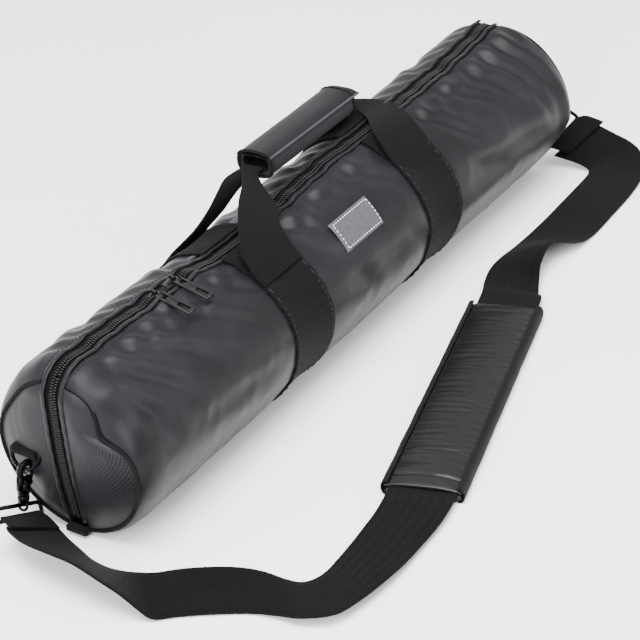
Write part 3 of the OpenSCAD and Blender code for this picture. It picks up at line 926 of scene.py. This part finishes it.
stitches("zip_topstitching", "root", lip_lines, beside_zip, 2.4, 1.2, 0.36)

# %% [markdown]
# Free webbing is a ribbon: a list of stations, each with the two edges of the cloth, joined by a
# smooth curve. It keeps the webbing's width and thickness while it twists, folds and lies down.

# %% Ribbons of webbing


def ribbon(name, material, stations, rows=10, per_station=8, thickness=1.7, outward=None):
    """Cloth swept through stations of (edge, edge) in mm; the smooth curve passes through them all."""
    left = [Vector(s[0]) for s in stations]
    right_side = [Vector(s[1]) for s in stations]
    middle = [(a + b) / 2 for a, b in zip(left, right_side)]
    length = polyline_length(middle)
    reach = [0.0]
    for a, b in zip(middle, middle[1:]):
        reach.append(reach[-1] + (b - a).length / length)

    def at(points, u):
        n = len(points) - 1
        i = max(k for k in range(n) if reach[k] <= u + 1e-9)
        f = (u - reach[i]) / max(reach[i + 1] - reach[i], 1e-9)
        return spline(points, (i + min(f, 1.0)) / n)

    def lay(u, v):
        return at(left, u).lerp(at(right_side, u), v)
    steps = max(int(length / 5), per_station * (len(stations) - 1))
    piece = cloth_grid(name, material, (steps, rows), lay, (length, WEB_W))
    if outward:
        face_out(piece, outward)
    thicken(piece, thickness, 0.0)
    bevel_edges(piece, 0.45)
    print(f"{name}: {length:.0f} mm of webbing")
    return piece, length


STRAP = [
    ((-308, 27, 4.5), (-347, 30, 24)), ((-312, 14, 2), (-351, 24, 25)), ((-318, 0, 2), (-358, 5, 27)),
    ((-323, -14, 2), (-362, -23, 30)), ((-328, -28, 2), (-364, -46, 31)), ((-330, -44, 2), (-366, -68, 27)),
    ((-328, -57, 2), (-365, -85, 20)), ((-324, -68, 2), (-363, -98, 10)), ((-319, -78, 2), (-360, -107, 3)),
    ((-308, -91, 2), (-349, -120, 2)), ((-297, -108, 2), (-336, -140, 2)), ((-288, -127, 2), (-324, -162, 2)),
    ((-284, -145, 2), (-320, -180, 4)), ((-284, -163, 2), (-319, -198, 8)),
    ((-281, -176, 2), (-310, -216, 10)), ((-268, -183, 2), (-296, -224, 10)),
    ((-245, -183, 2), (-260, -230, 9)), ((-214, -181, 3), (-221, -230, 6))]
STRAP_FAR = [
    ((106, -94, 3), (108, -144, 4)), ((128, -87, 2), (124, -136, 8)), ((147, -86, 2), (136, -132, 17)),
    ((166, -88, 2), (157, -132, 24)), ((190, -89, 2), (188, -138, 8)), ((220, -89, 2), (214, -139, 2)),
    ((250, -88, 2), (250, -138, 2)), ((278, -87, 2), (290, -136, 2)), ((300, -86, 2), (322, -131, 4)),
    ((310, -84, 3), (346, -118, 10)), ((313, -78, 5), (355, -103, 14)), ((312, -68, 8), (354, -88, 20)),
    ((309, -50, 12), (353, -66, 28))]
PAD_AT, PAD_TURN = Vector((-45, -166, 0)), math.radians(15.5)
PAD_DIR = Vector((math.cos(PAD_TURN), math.sin(PAD_TURN), 0))
PAD_SIDE = Vector((-math.sin(PAD_TURN), math.cos(PAD_TURN), 0))
PAD_LEN, PAD_W = 245.0, 61.0


def on_pad(s, n, z=7.0):
    return tuple(PAD_AT + PAD_DIR * s + PAD_SIDE * n + Vector((0, 0, z)))


STRAP += [(on_pad(s, 25), on_pad(s, -25)) for s in (-137.5, -60, 0, 60, 137.5)] + STRAP_FAR


def upwards(p):
    return Vector((0, 0, 1))


strap, strap_length = ribbon("shoulder_strap_webbing", WEBBING, STRAP, 8, 7, outward=upwards)
place(strap, "root", "shoulder_strap", "webbing")

END_NEAR = [((-310.5, 33.2, 12.2), (-346, 35, 29.8)), ((-311, 24, 10.2), (-347.5, 30.5, 29.6)),
            ((-314, 12, 6), (-351, 21.5, 29.4))]
END_FAR = [((309, -44.6, 19), (347, -54.3, 32.9)), ((310, -50, 18.6), (351, -62, 34.2)),
           ((313, -62, 14.8), (354, -77, 29.8))]
for end_name, stations in (("near", END_NEAR), ("far", END_FAR)):
    fold = ribbon(f"strap_fold_{end_name}", WEBBING, stations, 8, 6, outward=upwards)[0]
    place(fold, "root", f"strap_end_{end_name}", "webbing")

# %% [markdown]
# The shoulder pad is a soft sleeve: a flat base, a foam-filled cover that crowns in the middle and
# puckers across, and a strip of binding sewn over each long edge. Its ends are turned in and hemmed.

# %% Shoulder pad


def pad_point(s, n, z):
    return tuple(PAD_AT + PAD_DIR * s + PAD_SIDE * n + Vector((0, 0, z)))


def pad_top(u, v):
    s = (u - 0.5) * PAD_LEN
    n = (v - 0.5) * (PAD_W - 3)
    across = (v - 0.5) * 2
    crown = 4.3 * (1 - abs(across) ** 2.6)
    ends = 1 - 0.6 * math.exp(-((0.5 - abs(u - 0.5)) * PAD_LEN / 7.0))
    wrinkle = 0.75 * (ridge(s * 0.16 + n * 0.012, n * 0.018, 0.0, 8) - 0.72) * 2.0
    wrinkle += 0.5 * (ridge(s * 0.07 - n * 0.02, n * 0.03, 0.0, 9) - 0.72)
    groove = -0.9 * math.exp(-((abs(s) - PAD_LEN / 2 + 12) / 1.6) ** 2)
    return pad_point(s, n, 9.0 + (crown + wrinkle * (0.35 + 0.65 * (1 - abs(across) ** 4))) * ends + groove)


pad_cover = cloth_grid("pad_cover_cloth", SATIN, (200, 44), pad_top, (PAD_LEN, PAD_W))
face_out(pad_cover, upwards)
thicken(pad_cover, 1.6, -1.0)
place(pad_cover, "pad", "pad_cover", "nylon")


def pad_bottom(u, v):
    s, n = (u - 0.5) * PAD_LEN, (v - 0.5) * (PAD_W - 3)
    edge = abs(v - 0.5) * 2
    return pad_point(s, n, 0.3 + 1.6 * smooth_step(edge, 0.8, 1.0))


pad_base = cloth_grid("pad_base_cloth", SATIN, (60, 20), pad_bottom, (PAD_LEN, PAD_W))
face_out(pad_base, lambda p: Vector((0, 0, -1)))
thicken(pad_base, 4.4, -1.0)
place(pad_base, "pad", "pad_base", "nylon")

for side, label_side in ((1, "bag"), (-1, "front")):
    def bound(u, v, side=side):
        s = (u - 0.5) * (PAD_LEN + 1)
        angle = math.pi * (v - 0.5) * 1.25
        wobble = 0.3 * noise.noise(Vector((s * 0.05, side * 3.0, 0)))
        n = side * (PAD_W / 2 - 3.4 + 3.2 * math.cos(angle) + wobble)
        return pad_point(s, n, 6.4 + 5.2 * math.sin(angle))
    edge_tape = cloth_grid(f"pad_binding_{label_side}", BINDING, (120, 14), bound, (PAD_LEN, 22))
    face_out(edge_tape, lambda p, side=side: PAD_SIDE * side + Vector((0, 0, 0.2)))
    thicken(edge_tape, 0.9, 1.0)
    place(edge_tape, "pad", "pad_binding", "webbing")


def on_cover(s, n):
    p = Vector(pad_top(s / PAD_LEN + 0.5, n / (PAD_W - 3) + 0.5))
    return p + Vector((0, 0, 0.25))


pad_lines = [((s, side * 24.2), (s + 60, side * 24.2)) for s in (-120, -60, 0, 60) for side in (1, -1)]
pad_lines += [((side * 110.5, -24), (side * 110.5, 24)) for side in (1, -1)]
stitches("pad_stitching", "pad", pad_lines, on_cover, 2.6, 1.3, 0.36, slot_name="nylon")

# %% [markdown]
# A coil zip's slider is a small casting: a top plate with rounded flanks, an arched bail, and a
# pull that swings on it. Both sliders are the same; each pull lies towards the front of the bag.

# %% Sliders and pulls
SLIDE_LEN, SLIDE_HALF = 15.0, 5.6
ZIP_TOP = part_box("zip_teeth_back")[1].z / MM


def block(mesh, low, high):
    """A box between two corners in mm."""
    low, high = Vector(low), Vector(high)
    made = bmesh.ops.create_cube(mesh, size=1.0)
    bmesh.ops.scale(mesh, vec=(high - low) * MM, verts=made["verts"])
    bmesh.ops.translate(mesh, vec=(low + high) / 2 * MM, verts=made["verts"])
    return made["verts"]


def rod_along(mesh, points, radius, sides=12):
    """A round bar through points in mm, as short cylinders end to end with a ball at each point."""
    for a, b in zip(points, points[1:]):
        a, b = Vector(a), Vector(b)
        turn = (b - a).to_track_quat("Z", "Y").to_matrix().to_4x4()
        bmesh.ops.create_cone(mesh, cap_ends=True, segments=sides, radius1=radius * MM, radius2=radius * MM,
                              depth=(b - a).length * MM, matrix=Matrix.Translation((a + b) / 2 * MM) @ turn)
    for p in points:
        bmesh.ops.create_uvsphere(mesh, u_segments=sides, v_segments=6, radius=radius * MM,
                                  matrix=Matrix.Translation(Vector(p) * MM))


def slider(node, x):
    """A top plate that narrows to its nose, two side walls and an arched bail."""
    mesh = bmesh.new()
    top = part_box(node)[1].z / MM
    plate = ZIP_TOP + 0.35
    made = block(mesh, (x - SLIDE_LEN / 2, -SLIDE_HALF, plate), (x + SLIDE_LEN / 2, SLIDE_HALF, plate + 1.7))
    nose = [v for v in made if v.co.x < x * MM]
    bmesh.ops.scale(mesh, vec=(1, 0.72, 1), verts=nose)
    for side in (-1, 1):
        block(mesh, (x - SLIDE_LEN / 2 + 1.5, side * SLIDE_HALF - 0.5, plate - 2.4),
              (x + SLIDE_LEN / 2, side * SLIDE_HALF + 0.5, plate + 1.0))
    arch = [(x - 4.6 + 9.2 * t, 0, plate + 1.2 + (top - plate - 2.0) * math.sin(math.pi * t) ** 0.45)
            for t in [i / 12 for i in range(13)]]
    rod_along(mesh, arch, 0.85)
    piece = finish_mesh(mesh, node + "_casting", BLACK_ENAMEL)
    bevel_edges(piece, 0.5, 3)
    return place(piece, node, node, "black_metal")


def pull(node, x):
    """A ring end on the bail and a flat tab with a window, lying down towards the front."""
    mesh = bmesh.new()
    pin_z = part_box(node)[1].z / MM - 1.9
    length, half, inside = 32.0, 4.5, 2.3
    for x0, x1, y0, y1 in ((-half, -inside, -length, -2), (inside, half, -length, -2),
                           (-inside, inside, -length, -length + 3), (-inside, inside, -19, -9),
                           (-inside, inside, -4.6, -2)):
        block(mesh, (x0, y0, -0.75), (x1, y1, 0.75))
    bmesh.ops.remove_doubles(mesh, verts=mesh.verts, dist=1e-6)
    inner = [f for f in mesh.faces if len([g for g in mesh.faces if g is not f and
             (g.calc_center_median() - f.calc_center_median()).length < 1e-6]) > 0]
    bmesh.ops.delete(mesh, geom=inner, context="FACES")
    turn = Matrix.Rotation(math.radians(12.5), 4, "X")
    at_pin = Matrix.Translation(Vector((x, -3.6, pin_z)) * MM)
    bmesh.ops.transform(mesh, matrix=at_pin @ turn, verts=mesh.verts)
    ring = [(x, -1.9 * math.cos(t) - 0.2, pin_z + 1.9 * math.sin(t))
            for t in [i * math.pi / 6 for i in range(13)]]
    rod_along(mesh, ring, 0.9)
    piece = finish_mesh(mesh, node + "_casting", BLACK_ENAMEL)
    bevel_edges(piece, 0.35, 2)
    return place(piece, node, node, "black_metal")


for kind, make in (("slider", slider), ("pull", pull)):
    for letter, x in (("a", SLIDER_A), ("b", SLIDER_B)):
        make(f"{kind}_{letter}", x)
print(f"sliders at {SLIDER_A:.0f} and {SLIDER_B:.0f} mm")

# %% [markdown]
# The handles' free loops bend between the bag and the grip; each is a ribbon through listed stations. The
# grip is a padded sleeve: a channel that holds the folded webbing, and a flap that closes over it.

# %% Handle webbing
GRIP_MID = Vector((centre("grip_core", 0), centre("grip_core", 1), centre("grip_core", 2)))
GRIP_HALF = 75.0
# The sleeve is shorter than the frame's grip by this much at each end.
TRIM_NEAR, TRIM_FAR = 11, 22
GRIP_X0, GRIP_X1 = GRIP_MID.x - GRIP_HALF + TRIM_NEAR, GRIP_MID.x + GRIP_HALF - TRIM_FAR
GRIP_RUN = GRIP_X1 - GRIP_X0


def leg(name, stations, node):
    """A free loop of webbing through its stations; a CAD node, if named, is hidden."""
    piece = ribbon(name, WEBBING, stations, 12, 9)[0]
    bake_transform(piece)
    if node:
        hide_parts(node)
    return piece


leg("handle_front_near", [
    ((-70, -46, 113), (-120, -46, 113)), ((-70, -38, 121), (-120, -38, 120.5)),
    ((-68, -31, 127.5), (-118.5, -32, 127)), ((-63, -23, 132.5), (-115, -24, 134)),
    ((-52, -15, 135), (-105, -17, 141)),
    ((-45, -5, 139), (-92, -7, 147)), ((-40, 5, 143), (-75, 4, 151)),
    ((-35, 13, 146), (-57, 14, 152)), ((-30, 18, 149), (-40, 26, 151)),
    ((-22, 19, 150), (-24, 38, 150))], "")
leg("handle_back_near", [
    ((-70, 50, 108), (-120, 50, 106)), ((-66, 43, 117), (-114, 45, 115)), ((-54, 37, 126), (-90, 39, 125)),
    ((-43, 33, 135), (-74, 36, 135)), ((-34, 29, 141), (-57, 38, 143)),
    ((-27, 24, 145), (-42, 41, 146)), ((-20, 19, 146), (-24, 38, 147))],
    "handle_back")
leg("handle_front_far", [
    ((70, -50, 109), (120, -50, 109)), ((70, -43, 117.5), (120, -43, 117)),
    ((70, -35, 126.5), (121, -36, 124)),
    ((74, -25, 135.5), (125, -25, 130.5)), ((84, -12, 140), (133, -12, 133)), ((95, -2, 140), (139, -1, 133)),
    ((104, 8, 138.5), (141, 10, 133)), ((106, 17, 139), (133, 24, 136)), ((96, 22, 143), (112, 36, 142)),
    ((88, 20, 148), (92, 38, 147))], "handle_front")
leg("handle_back_far", [
    ((70, 50, 108), (120, 50, 108)), ((70, 43, 117.5), (122, 44, 117.5)), ((76, 37, 128), (127, 41, 129)),
    ((86, 30, 135), (128, 38, 139)), ((90, 22, 139), (112, 38, 145)), ((84, 20, 142), (90, 38, 147))],
    "")

# %% [markdown]
# The grip's pieces are rings of a rounded square, wider than it is high, laid along the bag. The
# wrap leaves a gap at the top that the flap covers, and the core is the folded webbing inside.

# %% Grip
WRAP_W, WRAP_H = 33.5, 21.5
FLAP_W, FLAP_H = 34.5, 22.0


def grip_ring(x, angle, width, height, power=2.7):
    """A rounded-square section of the grip at angle from the top."""
    c, s = math.cos(angle), math.sin(angle)
    y = math.copysign(abs(s) ** (2 / power), s) * width / 2
    z = math.copysign(abs(c) ** (2 / power), c) * height / 2
    return x, GRIP_MID.y - y, GRIP_MID.z + z


def wrap_point(u, v):
    x = GRIP_X0 + GRIP_RUN * u
    angle = math.radians(52 + 256 * v)
    puff = 0.97 - 0.06 * math.exp(-(min(u, 1 - u) * 150 / 5.0) ** 2)
    sag = 0.8 * (ridge(x * 0.03, angle * 0.9, 0.0, 12) - 0.7)
    return grip_ring(x, angle, WRAP_W * puff + sag, WRAP_H * puff + sag)


def grip_outward(p):
    return Vector((0, p.y - GRIP_MID.y * MM, p.z - GRIP_MID.z * MM))


wrap = cloth_grid("grip_wrap_cloth", MESH_CLOTH, (90, 60), wrap_point, (150, 78))
face_out(wrap, grip_outward)
thicken(wrap, 3.2, -1.0)
bevel_edges(wrap, 0.8)
place(wrap, "handle", "grip_wrap", "nylon")


def flap_point(u, v):
    x = GRIP_X0 - 0.5 + (GRIP_RUN + 1.0) * u + 7.0 * v * smooth_step(u, 0.9, 1.0)
    lean = 5.0 * u
    angle = math.radians(-68 + (122 + lean) * v)
    crown = 0.5 * math.sin(math.pi * v) + 0.7 * (ridge(x * 0.035, angle, 0.0, 13) - 0.7)
    return grip_ring(x, angle, FLAP_W + crown, FLAP_H + crown)


flap = cloth_grid("grip_flap_cloth", NYLON, (90, 30), flap_point, (151, 42))
face_out(flap, grip_outward)
thicken(flap, 1.4, -1.0)
place(flap, "grip_flap", "grip_flap", "nylon")
edge_line = [flap_point(i / 60, 1.0) for i in range(61)]
place(cord_along("grip_flap_binding", PIPING, edge_line, 1.1), "grip_flap", "", "webbing")


def core_point(u, v):
    x = GRIP_X0 + 1.0 + (GRIP_RUN - 2.0) * u
    return grip_ring(x, 2 * math.pi * v, 26.5, 14.0, 4.0)


core = cloth_grid("grip_core_webbing", WEBBING, (60, 40), core_point, (148, 70))
face_out(core, grip_outward)
thicken(core, 1.7, -1.0)
place(core, "handle", "grip_core", "webbing")
for end_name, x in (("near", GRIP_X0), ("far", GRIP_X1)):
    hoop = [grip_ring(x, math.radians(56 + 248 * i / 50), 31.4, 19.8) for i in range(51)]
    place(cord_along(f"grip_end_binding_{end_name}", BINDING, hoop, 1.7), "handle", "", "webbing")
    cap = [grip_ring(x, math.radians(-66 + 124 * i / 30), 34.2, 21.8) for i in range(31)]
    place(cord_along(f"grip_flap_end_{end_name}", BINDING, cap, 1.2), "grip_flap", "", "webbing")

# %% [markdown]
# The fittings are wire and castings. Each D-ring hangs from a folded tab of webbing, a snap hook
# hangs on the D-ring, and the hook's swivel eye holds the wire loop that the strap is folded round.

# %% Fittings
WIRE_R = 1.6
DRING_R, DRING_TILT = 13, math.radians(25)
HOOK_LEAN = math.radians(22)


def fitting(name, body, node, slot_name, build):
    mesh = bmesh.new()
    build(mesh)
    return place(finish_mesh(mesh, name, BLACK_NICKEL), body, node, slot_name)


def leaning(at, out, u, w, y=0.0):
    """A point of a hook's own plane: u across, w up its leaning axis."""
    x = u * math.cos(HOOK_LEAN) + w * math.sin(HOOK_LEAN)
    z = -u * math.sin(HOOK_LEAN) + w * math.cos(HOOK_LEAN)
    return (at[0] + (x if out < 0 else -x), at[1] + y, at[2] + z)


ENDS = {
    "near": {"out": -1, "ring": (-311, 33, 65), "eye": (-326, 31, 29), "face": -305.2,
             "loop": [(-307.5, 33, 7), (-350.6, 35.2, 28.5), (-353.6, 31.7, 43.2), (-310.5, 30.5, 21.2)]},
    "far": {"out": 1, "ring": (311, -40, 65), "eye": (326, -40, 29), "face": 299.4,
            "loop": [(306, -42, 15), (351, -53, 31), (349, -43, 38), (303, -37, 20)]},
}
for end_name, end in ENDS.items():
    out, ring, eye = end["out"], end["ring"], end["eye"]

    def build_ring(mesh):
        points = [(ring[0] + out * DRING_R * math.sin(t) * math.sin(DRING_TILT),
                   ring[1] + DRING_R * math.cos(t),
                   ring[2] - DRING_R * math.sin(t) * math.cos(DRING_TILT))
                  for t in [i * math.pi / 16 for i in range(17)]]
        rod_along(mesh, points + [points[0]], WIRE_R, 14)

    def build_hook(mesh):
        bow = [leaning(eye, out, 6.4 * math.sin(t), 25 + 6.4 * math.cos(t))
               for t in [math.radians(60 - 270 * i / 18) for i in range(19)]]
        rod_along(mesh, bow, 2.5, 12)
        rod_along(mesh, [leaning(eye, out, -0.6, 9.5), leaning(eye, out, -0.6, 16)], 4.6, 16)
        rod_along(mesh, [leaning(eye, out, -4.6, 13), leaning(eye, out, -5.6, 21)], 2.8, 12)
        rod_along(mesh, [leaning(eye, out, 0, 4.6), leaning(eye, out, 0, 6.2)], 4.4, 16)
        rod_along(mesh, [leaning(eye, out, 1.0, 14.5), leaning(eye, out, 5.0, 16.2)], 2.4, 12)

    def build_gate(mesh):
        rod_along(mesh, [leaning(eye, out, 6.2, 18.4), leaning(eye, out, 6.2, 26.0)], 1.3, 12)

    def build_eye(mesh):
        hoop = [leaning(eye, out, 0, 3.4 * math.sin(t) - 0.6, 3.9 * math.cos(t)) for t in
                [i * math.pi / 10 for i in range(21)]]
        rod_along(mesh, hoop, 1.1, 12)

    def build_loop(mesh):
        corners = [Vector(c) for c in end["loop"]]
        path = []
        for i in range(4):
            a, b, c = corners[i - 1], corners[i], corners[(i + 1) % 4]
            near_a, near_c = b + (a - b).normalized() * 3, b + (c - b).normalized() * 3
            path += [near_a, (near_a + near_c + b * 2) / 4, near_c]
        rod_along(mesh, path + [path[0]], WIRE_R, 14)

    for kind, made_as, body, slot_name, build in (
            ("dring", "wire", f"dring_{end_name}", "steel", build_ring),
            ("hook", "casting", f"hook_{end_name}", "black_metal", build_hook),
            ("gate", "pin", f"gate_{end_name}", "steel", build_gate),
            ("swivel", "eye", "root", "steel", build_eye),
            ("strap_loop", "wire", "root", "steel", build_loop)):
        fitting(f"{kind}_{end_name}_{made_as}", body, f"{kind}_{end_name}", slot_name, build)

    def tab_point(u, v):
        """The tab goes up the bag's end, over the D-ring's bar and back down on itself."""
        y = ring[1] + (v - 0.5) * 22
        path = [(end["face"] + out * 0.8, 40), (end["face"] + out * 0.9, 52), (end["face"] + out * 1.2, 62),
                (ring[0] - out * 1.5, 68.0), (ring[0] + out * 1.6, 67.8), (ring[0] + out * 2.9, 65),
                (ring[0] + out * 1.2, 62.2), (end["face"] + out * 3.2, 60), (end["face"] + out * 2.7, 50),
                (end["face"] + out * 2.6, 41)]
        p = spline([(x, 0, z) for x, z in path], u)
        return p.x, y, p.z

    tab = cloth_grid(f"dring_tab_{end_name}_webbing", WEBBING, (60, 8), tab_point, (80, 22))
    face_out(tab, lambda p: Vector((out, 0, 0)) if abs(p.x) > abs(ring[0] * MM) else Vector((0, 0, 0)))
    thicken(tab, 1.5, 0.0)
    place(tab, "root", f"dring_tab_{end_name}", "webbing")
    print(f"{end_name} end: D-ring, hook, gate, swivel eye, wire loop and tab")

# %% [markdown]
# Last come the parts that show only when the bag is open: foam behind each panel and a thin lining
# inside it. They follow the same rules as the cloth outside, a few millimetres further in. A folded
# tab closes each end of the zip.

# %% Zip tabs, foam and lining
FOAM_T, FOAM_DEPTH = 4.4, 2.2


def tab_block(name, low, high, node):
    mesh = bmesh.new()
    block(mesh, low, high)
    bmesh.ops.subdivide_edges(mesh, edges=mesh.edges[:], cuts=3, use_grid_fill=True)
    cloth = mesh.loops.layers.uv.new("cloth")
    for face in mesh.faces:
        for loop in face.loops:
            loop[cloth].uv = (loop.vert.co.x + loop.vert.co.z, loop.vert.co.y)
    piece = finish_mesh(mesh, name, BINDING)
    bevel_edges(piece, 0.8, 2)
    return place(piece, "root", node, "nylon")


for node in ("zip_tab_near", "zip_tab_far"):
    low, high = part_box(node)
    tab_block(node + "_cloth", low / MM, high / MM, node)


def shell(name, a0, a1, depth, material, thickness, nodes, slot_name, counts=(150, 50)):
    def lay(u, v):
        return skin(-280 + 560 * u, a0 + (a1 - a0) * v, -depth)
    piece = cloth_grid(name, material, counts, lay, (560, abs(a1 - a0) * 1.15))
    face_out(piece, tube_outward)
    thicken(piece, thickness, -1.0)
    return place(piece, "root", nodes, slot_name)


shell("front_foam_sheet", 12, 150, FOAM_DEPTH, FOAM, FOAM_T, "front_foam", "foam")
shell("back_foam_sheet", -150, -12, FOAM_DEPTH, FOAM, FOAM_T, "back_foam", "foam")
shell("base_foam_sheet", 150, 210, FOAM_DEPTH, FOAM, FOAM_T, "base_foam", "foam", (100, 20))
shell("lining_cloth", 14, 346, 7.2, LINING, 0.8, "lining", "lining", (150, 110))


def end_foam(name, side, body, node):
    def lay(u, v):
        x, y, z = end_panel_point(side, 0.06 + 0.88 * u, 0.05 + 0.9 * v)
        return x + 4.6, y, z
    piece = cloth_grid(name, LINING, (30, 50), lay, (50, 110))
    face_out(piece, lambda p: Vector((1, 0, 0)))
    thicken(piece, 3.0, 1.0)
    return place(piece, body, node, "foam")


end_foam("near_flap_foam_sheet", -1, "near_flap", "near_flap_foam")
end_foam("near_back_foam_sheet", 1, "root", "near_end_back_foam")


def far_foam_point(u, v):
    x, y, z = far_panel_point(0.04 + 0.96 * u, v)
    return x - 4.2, y, z


far_foam = cloth_grid("far_end_foam_sheet", LINING, (12, 60), far_foam_point, (60, 380))
face_out(far_foam, lambda p: Vector((-1, 0, 0)))
thicken(far_foam, 3.0, 1.0)
place(far_foam, "root", "far_end_foam", "foam")
print(f"foam {FOAM_T} mm thick, lining, and two zip tabs")

# %% [markdown]
# The stage is a plain pale floor under everything.

# %% Floor
floor_mesh = bmesh.new()
bmesh.ops.create_grid(floor_mesh, x_segments=1, y_segments=1, size=6.0)
floor = finish_mesh(floor_mesh, "floor", FLOOR, smooth=False)
